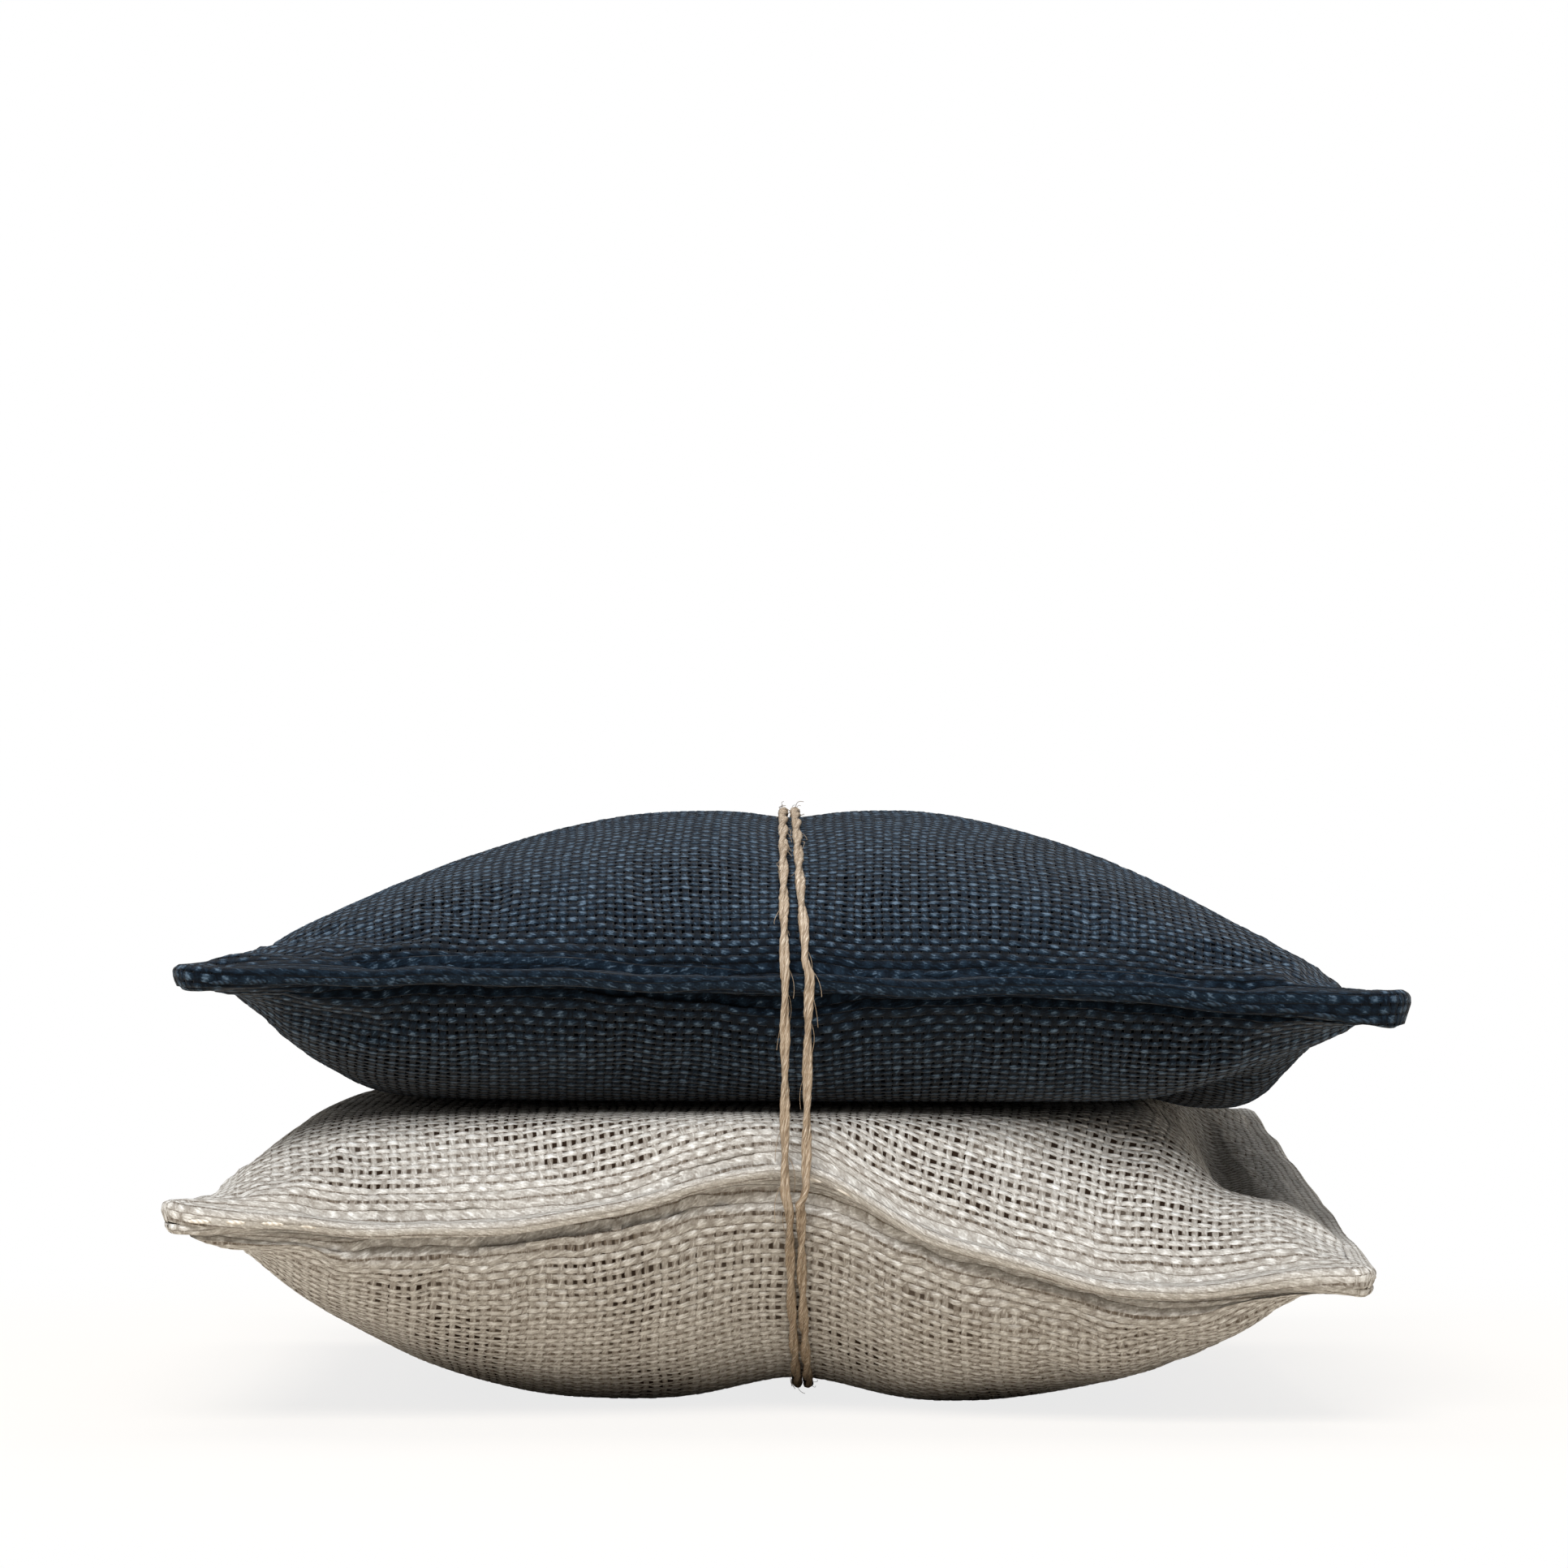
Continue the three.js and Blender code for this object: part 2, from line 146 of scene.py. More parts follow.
def seam(sachet, u, v):
    front_left, front_right, back_right, back_left = sachet["corners"]
    a, b = (u + 1) / 2, (v + 1) / 2
    front = front_left + (front_right - front_left) * a
    back = back_left + (back_right - back_left) * a
    x, _ = plan(sachet, u, v)
    wave = sachet["back_rise"] * bell(x - TIE_X, RISE_WIDTH) * b**4
    for at, rise, left, right in sachet["waves"]:
        wave = wave + rise * bell(x - at, np.where(x < at, left, right)) * (1 - b) ** 4
    if sachet is NAVY:
        wave = wave - SAG["drop"] * bell(v - SAG["v"], SAG["along"]) * a**6
    return sachet["base"] + THICK * (front + (back - front) * b) + wave


print("navy seam at the front", seam(NAVY, np.array([-1.0, 0.0, 1.0]), -1.0).round(1), "mm high")

# %% [markdown]
# ## The belly
#
# From the seam the cloth swells up and down. Where the sachets meet they press each other flat,
# and the lower one is flat on the table. A soft minimum rounds the way from one to the other. Each
# face then gets its own marks: the twine's groove, the fold of the lower sachet at its right end,
# and a crease and a hanging lobe under the upper one.


# %% Outer face of the cloth
def lower(a, b, k):
    return (a + b - np.hypot(a - b, k)) / 2


def upper(a, b, k):
    return (a + b + np.hypot(a - b, k)) / 2


def swell(share, power, bluntness):
    inside_lip = np.minimum(np.abs(share) / (1 - 2 * LIP / SIDE), 1)
    return (1 - inside_lip**power) ** bluntness


def hanging(x, y):
    """How far the navy underside goes up at its crease, less how far it hangs at its lobe."""
    (x0, y0), (x1, y1) = CREASE["start"], CREASE["end"]
    run = math.hypot(x1 - x0, y1 - y0)
    along = ((x - x0) * (x1 - x0) + (y - y0) * (y1 - y0)) / run**2
    off = ((x - x0) * (y1 - y0) - (y - y0) * (x1 - x0)) / run
    dent = CREASE["depth"] * bell(off, CREASE["width"]) * bell(along - 0.5, CREASE["run"])
    hang = LOBE["hang"] * bell(x - LOBE["x"], LOBE["across"]) * bell(y - LOBE["y"], LOBE["along"])
    return dent - hang


def face(sachet, side, u, v):
    """Place of the outer face; side is 1 for the top and -1 for the bottom."""
    x, y = plan(sachet, u, v)
    height, powers, blunt, *along = sachet["top" if side > 0 else "bottom"]
    share = swell(u, np.where(u < 0, *powers), blunt) * swell(v, *along)
    z = seam(sachet, u, v) + side * (EDGE + height * share)
    if sachet is NAVY and side > 0:
        z = z - TOP_GROOVE["depth"] * bell(x - TIE_X, TOP_GROOVE["width"]) * share
    elif sachet is NAVY:
        z = upper(z, THICK + GAP / 2, SOFTEN) + hanging(x, y) * np.minimum(2 * share, 1)
    elif side > 0:
        off = x - FOLD["x"] - FOLD["lean"] * y
        across = bell(off, np.where(off < 0, FOLD["inner"], FOLD["outer"]))
        hollow = across * np.exp(-(((y - FOLD["y"]) / FOLD["along"]) ** 4))
        z = lower(z, THICK - GAP / 2, SOFTEN) - FOLD["depth"] * hollow * np.minimum(2 * share, 1)
    else:
        groove = FOOT_GROOVE["depth"] * bell(x - TIE_X - 1, FOOT_GROOVE["width"])
        z = np.maximum(upper(z, 0, SOFTEN / 2) + groove * np.minimum(3 * share, 1) - FOOT_CUT, 0)
    return np.stack([x, y, z], axis=-1)


print("crest at", face(NAVY, 1, np.array(-0.17), np.array(0.0)).round(1), "mm")

# %% [markdown]
# ## Cloth coordinates
#
# Linen hardly stretches, so its threads keep their spacing along the curved surface and not along
# the plan. Each row and column of the sachet is measured with a tape, and the result is turned
# round: from a place on the flat cloth, (s, t), to a place on the sachet, (u, v).

# %% From flat cloth to sachet
TAPE_MARKS = 161  # points each way


def even_steps(points, steps):
    """For each row of points, the parameter at even steps of length, centred on the middle."""
    length = np.linalg.norm(np.diff(points, axis=1), axis=-1)
    run = np.concatenate([np.zeros((len(points), 1)), np.cumsum(length, axis=1)], axis=1)
    run = run - run[:, [len(steps) // 2]]
    run = np.where(run > 0, run / run[:, [-1]], -run / run[:, [0]])
    return np.array([np.interp(steps, row, steps) for row in run])


def lookup(table, column, row):
    """Value between the entries of a table whose columns and rows go from -1 to 1."""
    last = len(table) - 1
    i = np.clip((column + 1) / 2 * last, 0, last - 1e-9)
    j = np.clip((row + 1) / 2 * last, 0, last - 1e-9)
    i0, j0 = i.astype(int), j.astype(int)
    fi, fj = i - i0, j - j0
    if table.ndim == 3:
        fi, fj = fi[..., None], fj[..., None]
    low = table[j0, i0] * (1 - fi) + table[j0, i0 + 1] * fi
    high = table[j0 + 1, i0] * (1 - fi) + table[j0 + 1, i0 + 1] * fi
    return low * (1 - fj) + high * fj


def tape(sachet, side):
    steps = np.linspace(-1, 1, TAPE_MARKS)
    u, v = np.meshgrid(steps, steps)
    points = face(sachet, side, u, v)
    across = even_steps(points, steps)
    along = even_steps(points.transpose(1, 0, 2), steps).T
    return across, along


def on_sachet(measured, s, t):
    across, along = measured
    u, v = s, t
    for _ in range(4):
        u, v = lookup(across, s, v), lookup(along, u, t)
    return u, v


tapes = {(c["name"], side): tape(c, side) for c in (NAVY, NATURAL) for side in (1, -1)}
print("measured", len(tapes), "panels")

# %% [markdown]
# ## How the cloth settles
#
# A filled pouch is never as smooth as a formula. Linen is cut a little larger than the filling
# needs and its seams hold it short, so it puckers along them and lies unevenly over the buds. A
# cloth simulation finds these folds: a coarse copy of the sachet, ten times its size, is blown up
# from inside while its seam is held. What is kept is only how it differs from a smooth belly, less
# than a millimetre, and none of it where the sachet touches something.

# %% A coarse sachet to blow up
COARSE = 65  # points each way


def grid_quads(rows, columns):
    index = np.arange(rows * columns).reshape(rows, columns)
    ring = [index[:-1, :-1], index[:-1, 1:], index[1:, 1:], index[1:, :-1]]
    return np.stack(ring, axis=-1).reshape(-1, 4)


def coarse_pouch(sachet):
    """Both faces of a sachet as one closed mesh, joined along the seam."""
    steps = np.linspace(-1, 1, COARSE)
    u, v = np.meshgrid(steps, steps)
    top, bottom = face(sachet, 1, u, v), face(sachet, -1, u, v)
    rim = np.maximum(np.abs(u), np.abs(v)) > 0.999
    top[rim] = bottom[rim] = (top[rim] + bottom[rim]) / 2
    upper_index = np.arange(COARSE**2).reshape(COARSE, COARSE)
    lower_index = upper_index.copy()
    lower_index[~rim] = COARSE**2 + np.arange((~rim).sum())
    points = np.concatenate([top.reshape(-1, 3), bottom[~rim]])
    quads = grid_quads(COARSE, COARSE)
    quads = np.concatenate([quads, lower_index.ravel()[quads[:, ::-1]]])
    return points, quads, rim, upper_index, lower_index


print("coarse sachet:", len(coarse_pouch(NAVY)[1]), "faces")

# %% Blow it up
SIM_SCALE = 10.0
FRAMES = 20
STRETCH = 0.035  # how much larger the cloth is than the form it covers
PUCKER = 0.7  # mm, the most that a fold may rise
SMOOTH_PASSES = 60
LINEN_SETTINGS = dict(
    quality=6, mass=0.25, tension_stiffness=20.0, compression_stiffness=20.0, shear_stiffness=8.0,
    bending_stiffness=0.4, vertex_group_mass="seam", shrink_min=-STRETCH, shrink_max=-STRETCH,
    use_pressure=True, uniform_pressure_force=4.0,
)


def smoothed(field, times):
    for _ in range(times):
        field = np.pad(field, ((1, 1), (1, 1), (0, 0)), mode="edge")
        field = (field[:-2] + 2 * field[1:-1] + field[2:]) / 4
        field = (field[:, :-2] + 2 * field[:, 1:-1] + field[:, 2:]) / 4
    return field


def blown_up(points, quads, held_points):
    """Where the points of a pouch are after the simulation, in millimetres."""
    mesh = bpy.data.meshes.new("pouch")
    mesh.from_pydata((points * MM * SIM_SCALE).tolist(), [], quads.tolist())
    pouch = bpy.data.objects.new("pouch", mesh)
    bpy.context.scene.collection.objects.link(pouch)
    pouch.vertex_groups.new(name="seam").add(held_points.tolist(), 1.0, "REPLACE")
    cloth = pouch.modifiers.new("cloth", "CLOTH")
    for key, value in LINEN_SETTINGS.items():
        setattr(cloth.settings, key, value)
    cloth.settings.effector_weights.gravity = 0.0
    cloth.collision_settings.use_collision = False
    cloth.point_cache.frame_start, cloth.point_cache.frame_end = 1, FRAMES
    for number in range(1, FRAMES + 1):
        bpy.context.scene.frame_set(number)
    graph = bpy.context.evaluated_depsgraph_get()
    result = pouch.evaluated_get(graph).to_mesh()
    places = np.empty(3 * len(result.vertices))
    result.vertices.foreach_get("co", places)
    bpy.data.objects.remove(pouch)
    bpy.context.scene.frame_set(1)
    return places.reshape(-1, 3) / (MM * SIM_SCALE)


def settle(sachet):
    """How far each point of the two faces moves, as tables over (u, v)."""
    points, quads, rim, upper_index, lower_index = coarse_pouch(sachet)
    moved = blown_up(points, quads, upper_index[rim]) - points
    tables = {}
    for side, index in ((1, upper_index), (-1, lower_index)):
        folds = moved[index] - smoothed(moved[index], SMOOTH_PASSES)
        size = np.linalg.norm(folds, axis=-1, keepdims=True)
        tables[side] = folds * PUCKER * np.tanh(size / PUCKER) / np.maximum(size, 1e-9)
        highest = round(float(np.abs(tables[side]).max()), 2)
        print(sachet["name"], "top" if side > 0 else "bottom", "folds up to", highest, "mm")
    return tables


settled = {c["name"]: settle(c) for c in (NAVY, NATURAL)}


# %% Where the folds may show
TIE_REACH = 4.5  # mm to each side of the twine
MEETING_REACH = (0.6, 2.5)  # mm from the other sachet: none, and how soon all
TABLE_REACH = (0.5, 3.0)  # mm from the table


def free_cloth(sachet, side, points):
    """1 where nothing touches the cloth, 0 at the other sachet, the table and the twine."""
    x, z = points[..., 0], points[..., 2]
    free = 1 - bell(x - TIE_X - 1, TIE_REACH)
    if (sachet is NAVY) == (side < 0):
        start, run = MEETING_REACH
        free = free * np.clip((np.abs(z - THICK) - start) / run, 0, 1)
    elif sachet is NATURAL:
        start, run = TABLE_REACH
        free = free * np.clip((z - start) / run, 0, 1)
    return free[..., None]


crest = face(NAVY, 1, np.array(-0.5), np.array(0.0))
print("navy crest is free:", free_cloth(NAVY, 1, crest).round(2))

# %% [markdown]
# ## Threads
#
# A plain weave is a grid of threads that pass over and under each other, with a small hole in each
# mesh of the grid. The mesh here follows the threads: three columns to a thread, two on its back
# and one in the gap beside it. A picture of cloth would cost less, but it would stay flat at the
# outline. Threads wander and swell a little, with a fixed seed, and the wefts of the natural linen
# lie in pairs.

# %% Threads that wander
PITCH = 0.8  # mm from thread to thread
THREADS = round(SIDE / PITCH)
ROLL = 6  # threads that turn round the edge
BACK = (0.2, 0.8)  # where the two columns on the back of a thread lie, in threads
CLOSEST = 0.08  # threads, the least that two columns lie apart
WANDER_KNOTS, SLUB_KNOTS = 30, 40  # along one thread
DRIFT_WAVES, DRIFT_PARTS = 5, 8


def wander(rng, threads, length, knots, amount):
    """A slow random shift for each thread along its length."""
    values = rng.normal(size=(threads, knots)) * amount
    at = np.linspace(0, knots - 1, length)
    return np.array([np.interp(at, np.arange(knots), row) for row in values])


def drift(rng, rows, columns, waves):
    """A slow random swell over the whole cloth, about -1 to 1; waves is how many fit across it."""
    i, j = np.meshgrid(np.linspace(0, 1, rows), np.linspace(0, 1, columns), indexing="ij")
    swell_here = np.zeros((rows, columns))
    for _ in range(DRIFT_PARTS):
        a, b = rng.uniform(-waves, waves, size=2)
        swell_here += np.sin(2 * math.pi * (a * i + b * j + rng.uniform()))
    return swell_here / 3


def thread_lines(rng, cloth, pairs):
    """Place of each mesh column in threads, where it lies once the threads have wandered."""
    count = THREADS + 2 * ROLL
    lines = 3 * count + 1
    on_thread = np.tile([False, True, True], count + 1)[:lines]
    nominal = np.array([[i, i + BACK[0], i + BACK[1]] for i in range(count + 1)]).ravel()[:lines]
    shift = wander(rng, count, lines, WANDER_KNOTS, cloth["wander"])
    shift += rng.normal(size=(count, 1)) * cloth["wander"]
    shift += cloth["drift"] * drift(rng, count, lines, DRIFT_WAVES)
    shift += pairs * (-1.0) ** np.arange(count)[:, None]
    fat = wander(rng, count, lines, SLUB_KNOTS, cloth["slub"])
    place = np.repeat(nominal[:, None], lines, axis=1)
    for i in range(count):
        place[3 * i + 1] += shift[i] - fat[i]
        place[3 * i + 2] += shift[i] + fat[i]
        if i:
            place[3 * i] += (shift[i - 1] + shift[i]) / 2
    spacing = np.maximum(np.diff(place, axis=0), CLOSEST)
    room = (place[-1] - place[0]) / spacing.sum(axis=0)
    place[1:] = place[0] + np.cumsum(spacing, axis=0) * room
    return nominal - ROLL, place - ROLL, on_thread


print(THREADS, "threads each way")

# %% [markdown]
# ## The hem
#
# A sachet is sewn inside out and turned, so at its edge the cloth rolls over a small ridge, falls
# and goes in under it. The upper panel makes the ridge, and the lower panel comes up behind it. At
# the corners there is more cloth in less room, so it bunches to a round finger. Bending the same
# grid of threads over that path keeps the weave whole round the edge.

# %% Where the hem and its corners are
CORNER = 2 * 2.2 / SIDE  # rounding of the corners, on the cloth
HEM_REACH = 7.0  # mm from the edge in which the cloth rises to the hem
FINGER_REACH = 12.0  # mm along the hem from the tip of a corner
CROWD, CROWD_REACH = 0.45, 0.05  # how much closer threads lie at a seam, and how far in


def edge_share(s, reach):
    return np.clip(1 - (1 - np.abs(np.clip(s, -1, 1))) * SIDE / 2 / reach, 0, 1)


def near_edge(s):
    """1 at an edge of the cloth, 0 further in than the hem."""
    return edge_share(s, HEM_REACH) ** 2


def at_corner(s, t):
    """1 at the tip of a corner, falling to 0 along the hem in the length of a finger."""
    a, b = edge_share(s, FINGER_REACH), edge_share(t, FINGER_REACH)
    a, b = a * a * (3 - 2 * a), b * b * (3 - 2 * b)
    return np.maximum(near_edge(s) * b, near_edge(t) * a)


def rounded(s, t):
    """Rounds the corners of the square cloth; also gives the way outwards at each point."""
    a = np.clip((np.abs(s) - 1 + CORNER) / CORNER, 0, 1)
    b = np.clip((np.abs(t) - 1 + CORNER) / CORNER, 0, 1)
    a, b = a * np.sqrt(1 - b * b / 2), b * np.sqrt(1 - a * a / 2)
    way = np.stack([np.sign(s) * a, np.sign(t) * b, 0 * s], axis=-1)
    way = way / np.maximum(np.hypot(a, b), 1e-9)[..., None]
    s = np.where(a > 0, np.sign(s) * (1 - CORNER + CORNER * a), s)
    t = np.where(b > 0, np.sign(t) * (1 - CORNER + CORNER * b), t)
    return s, t, way


def crowded(s):
    """Threads lie closer together towards a seam."""
    left = np.maximum(1 - np.abs(s), 0)
    return s + np.sign(s) * CROWD * left * np.exp(-left / CROWD_REACH)


print("outermost threads lie", (1 - crowded(np.array([0.9, 0.95, 0.98]))).round(3), "from the seam")

# %% Path of the cloth over the hem
RIDGE = 0.35  # mm, radius of the fold
FINGER_LEAN = 108  # degrees, how far the face of a finger leans
RIM_RISE, FLAP = 0.15, 0.85  # mm, how far the lower panel goes up behind the hem, more in front
FINGER_LIFT = 0.6  # mm, how much the lower panel comes up at a corner
TUCK = 0.6  # share of the recess that the upper panel goes in under the hem
SNUG = 0.05  # mm between the panels where they are sewn
TRIM = 0.3  # mm of cloth to spare past the hem
RIPPLE = 0.09  # mm, how far the hem goes up and down
RIPPLE_WAVES = ((0.55, 0.31, 0.0), (0.23, -0.4, 2.0))  # turn for each mm of x and of y, and start


def hem_size(sachet, s, t):
    """How much the sewn edge is thicker than the solids', the radius of its ridge, how far its
    face falls and how far it leans under. At a corner the cloth bunches to a round finger."""
    s, t = np.clip(s, -1, 1), np.clip(t, -1, 1)
    corner = at_corner(s, t)
    to_right = ((1 + s) / 2) ** 3 * (1 - t) / 2
    first, last = (np.array(sachet[end]) for end in ("hem_left", "hem_right"))
    thicker, fall, lean, finger = (a + (b - a) * to_right for a, b in zip(first, last))
    radius = RIDGE + (finger - RIDGE) * corner
    lean = np.radians(lean + (FINGER_LEAN - lean) * corner)
    return thicker, radius, fall, lean


def hem_way(past, radius, fall, lean):
    """How far out and down the cloth is when it has gone a length past the seam: it bends over
    the ridge, falls along the face of the hem and is tucked in under it."""
    turned = np.minimum(past / radius, lean)
    face_run = np.clip(past - radius * lean, 0, fall)
    tucked = np.maximum(past - radius * lean - fall, 0)
    out = radius * np.sin(turned) + face_run * np.cos(lean) - tucked
    down = radius * (1 - np.cos(turned)) + face_run * np.sin(lean)
    return out, down


def hemmed_edge(sachet, points, s, t, way, side):
    """Turns what lies past the seam over the ridge, and says which of it is to spare."""
    past = np.hypot(np.maximum(np.abs(s) - 1, 0), np.maximum(np.abs(t) - 1, 0)) * SIDE / 2
    near, corner = np.maximum(near_edge(s), near_edge(t)), at_corner(s, t)
    thicker, radius, fall, lean = hem_size(sachet, s, t)
    in_front = near_edge(t) * (t < 0) * (1 - corner)
    under = sachet["recess"] * fall * in_front
    if side > 0:
        out, down = hem_way(past, radius, fall, lean)
        inset, raised = radius, thicker
        used = radius * lean + fall + TUCK * under
    else:
        foot_out, foot_down = hem_way(radius * lean + fall, radius, fall, lean)
        rim = RIDGE * (1 + corner)
        rim_rise = RIM_RISE + FLAP * in_front
        out, down = hem_way(past, rim, rim_rise, math.pi / 2 + 0 * s)
        inset = rim + radius - foot_out + SNUG + under
        raised = foot_down - 2 * EDGE - thicker + FINGER_LIFT * corner
        used = rim * math.pi / 2 + rim_rise
    inset = inset - sachet["finger"] * corner
    moved = points + way * (out - inset * near)[..., None]
    x, y = points[..., 0], points[..., 1]
    ripple = sum(np.sin(a * x + b * y + start) for a, b, start in RIPPLE_WAVES)
    moved[..., 2] += side * (raised * near - down) + RIPPLE * near * ripple
    return moved, past > used + TRIM


print("a navy corner's finger is", 2 * hem_size(NAVY, np.array(1.0), np.array(-1.0))[1], "mm thick")

# %% [markdown]
# ## A woven panel
#
# With the threads laid out and the hem turned, one panel is a grid of points. Crossings rise and
# holes sink, so the cloth hides its own holes when it is seen at a slant, as real cloth does. How
# far a hole stands open varies over the cloth, and is kept in the mesh for the material to use, as
# is how tightly the cloth is packed: at a hem the threads that run along it cover the others.


# %% Mesh from a grid of points
def mesh_from_grid(name, points, uv, clipped=None, marks=None):
    """A sheet of quads over a grid of points, without those whose four corners are clipped off."""
    quads = grid_quads(*points.shape[:2])
    used = np.arange(points.size // 3)
    if clipped is not None:
        quads = quads[~clipped.ravel()[quads].all(axis=1)]
        used, quads = np.unique(quads, return_inverse=True)
        quads = quads.reshape(-1, 4)
    mesh = bpy.data.meshes.new(name)
    mesh.vertices.add(len(used))
    mesh.vertices.foreach_set("co", (points.reshape(-1, 3)[used] * MM).ravel())
    mesh.loops.add(quads.size)
    mesh.loops.foreach_set("vertex_index", quads.ravel())
    mesh.polygons.add(len(quads))
    mesh.polygons.foreach_set("loop_start", np.arange(0, quads.size, 4))
    mesh.update(calc_edges=True)
    thread_layer = mesh.uv_layers.new(name="weave")
    thread_layer.data.foreach_set("uv", uv.reshape(-1, 2)[used][quads.ravel()].ravel())
    mesh.polygons.foreach_set("use_smooth", np.ones(len(quads), bool))
    for mark, values in (marks or {}).items():
        attribute = mesh.attributes.new(mark, "FLOAT", "POINT")
        attribute.data.foreach_set("value", values.ravel()[used])
    mesh.update()
    return mesh


def link(mesh, material):
    piece = bpy.data.objects.new(mesh.name, mesh)
    bpy.context.scene.collection.objects.link(piece)
    mesh.materials.append(material)
    print(mesh.name, len(mesh.polygons), "faces")
    return piece


print("a grid of 3 by 3 points makes", len(grid_quads(3, 3)), "quads")


# %% Holes, relief and the whole panel
LOOSE, LOOSE_WAVES = 0.6, 9  # how much holes vary over the cloth, and how many swells fit across
SHUT_AT_SIDE = (4.0, 10.0)  # mm from the side seams: all shut, and how soon all open
SHUT_AT_FRONT = (1.0, 3.0)  # mm from the front and back seams
RELIEF = dict(warp_over=-0.02, weft=0.02, warp=-0.03, hole=-0.05)  # mm from the middle of the cloth
UNEVEN_RISE = (0.6, 1.4)  # share by which single heights differ
HEM_PACKED = 0.28  # how far the threads along a hem cover the others
HEM_FLAT = 0.9  # how far a hem presses the relief flat


def open_holes(rng, cloth, side, nominal, inner_s, inner_t):
    """How far each hole stands open, from 0 to 1; along the seams they are shut."""
    hole = np.rint(nominal).astype(int) + ROLL
    size = hole.max() + 1
    slack = LOOSE * drift(rng, size, size, LOOSE_WAVES)
    slack = slack + cloth["uneven"] * rng.uniform(-1, 1, size=(size, size))
    in_pair = np.where(np.arange(size) % 2, cloth["between"], 1)[:, None]
    slack = np.clip((slack + cloth["open"][side]) * in_pair, 0, 1)
    is_open = slack[hole][:, hole]
    for place, (start, run) in ((inner_s, SHUT_AT_SIDE), (inner_t, SHUT_AT_FRONT)):
        is_open = is_open * np.clip(((1 - np.abs(place)) * SIDE / 2 - start) / run, 0, 1)
    return is_open


def relief(rng, cloth, nominal, on_warp, on_weft, is_open):
    """Height of each point: weft crossings rise and holes sink."""
    number = np.floor(nominal).astype(int)
    weft_over = (number[None, :] + number[:, None]) % 2 == 1
    crossing = np.where(weft_over, cloth["crown"], RELIEF["warp_over"])
    single = np.where(on_weft, RELIEF["weft"], RELIEF["warp"])
    sunk = RELIEF["hole"] - cloth["sink"] * is_open
    rise = np.where(on_warp & on_weft, crossing, np.where(on_warp | on_weft, single, sunk))
    return rise * rng.uniform(*UNEVEN_RISE, size=rise.shape)


def woven_panel(sachet, side, cloth, seed):
    rng = np.random.default_rng(seed)
    nominal, place_u, thread_u = thread_lines(rng, cloth, cloth["pairs"] / 3)
    _, place_v, thread_v = thread_lines(rng, cloth, cloth["pairs"])
    s, t = (crowded(place * 2 / THREADS - 1) for place in (place_u.T, place_v))
    inner_s, inner_t, way = rounded(np.clip(s, -1, 1), np.clip(t, -1, 1))
    u, v = on_sachet(tapes[sachet["name"], side], inner_s, inner_t)
    points = face(sachet, side, u, v)
    folds = lookup(settled[sachet["name"]][side], u, v)
    points = points + free_cloth(sachet, side, points) * folds
    points, spare = hemmed_edge(sachet, points, s, t, way, side)
    normal = np.cross(np.gradient(points, axis=1), np.gradient(points, axis=0))
    normal /= np.linalg.norm(normal, axis=-1, keepdims=True) + 1e-9
    is_open = open_holes(rng, cloth, side, nominal, inner_s, inner_t)
    rise = relief(rng, cloth, nominal, thread_u[None, :], thread_v[:, None], is_open)
    rise = rise * (1 - HEM_FLAT * np.maximum(near_edge(s), near_edge(t)))
    points = points + normal * side * rise[..., None]
    uv = np.stack(np.meshgrid(nominal, nominal), axis=-1)
    clipped = spare | (np.abs(s) >= 1) & (np.abs(t) >= 1)
    packed = cloth["weft_over"] + HEM_PACKED * (np.sqrt(near_edge(t)) - np.sqrt(near_edge(s)))
    fields = (points, uv, is_open, packed, clipped)
    if side < 0:
        fields = (field[:, ::-1] for field in fields)
    points, uv, is_open, packed, clipped = fields
    name = f"{sachet['name']}_{'top' if side > 0 else 'bottom'}_linen"
    return mesh_from_grid(name, points, uv, clipped, {"open": is_open, "packed": packed})


print("heights of the weave:", RELIEF, "mm")

# %% [markdown]
# ## Linen as a material
#
# Linen yarn is spun from long flax fibres: it is uneven, a little shiny along its length, and
# matt overall. One node group draws the weave from the thread coordinates that each panel keeps in
# its own map, where a whole number is one thread of 0.8 mm. So every scale in it is a count of
# threads. It gives the height of the yarn, the holes, a tone for each thread and the streaks of
# its fibres. The two cloths then colour these differently.


# %% A node with its settings and links, and colours
def add(tree, kind, links=(), out=0, **settings):
    """Adds a node to a tree; gives back one of its outputs, or the node if out is None."""
    node = tree.nodes.new(kind)
    for key, value in settings.items():
        setattr(node, key, value)
    for socket, source in dict(links).items():
        if isinstance(source, bpy.types.NodeSocket):
            tree.links.new(source, node.inputs[socket])
        else:
            node.inputs[socket].default_value = source
    return node if out is None else node.outputs[out]


def colour(code):
    """Linear colour from an sRGB hex value."""
    parts = [int(code[i : i + 2], 16) / 255 for i in (1, 3, 5)]
    linear = [c / 12.92 if c <= 0.04045 else ((c + 0.055) / 1.055) ** 2.4 for c in parts]
    return (*linear, 1.0)


print("navy yarn is", [round(c, 4) for c in colour("#162533")[:3]], "in linear light")

# %% What the weave is given
MATH, NOISE, RANGE = "ShaderNodeMath", "ShaderNodeTexNoise", "ShaderNodeMapRange"
XYZ, MIX, RAMP = "ShaderNodeCombineXYZ", "ShaderNodeMix", "ShaderNodeValToRGB"
BUMP, SKIN, SURFACE = "ShaderNodeBump", "ShaderNodeBsdfPrincipled", "ShaderNodeOutputMaterial"
ATTRIBUTE = "ShaderNodeAttribute"
CALM = 2.2  # how soon packed threads stop going over and under
CROWDED_FROM, CROWDED_TO = 0.14, 0.36  # packing at which threads begin to swell, and are full
CROWDED_BY = 0.1  # of a thread, how much they swell

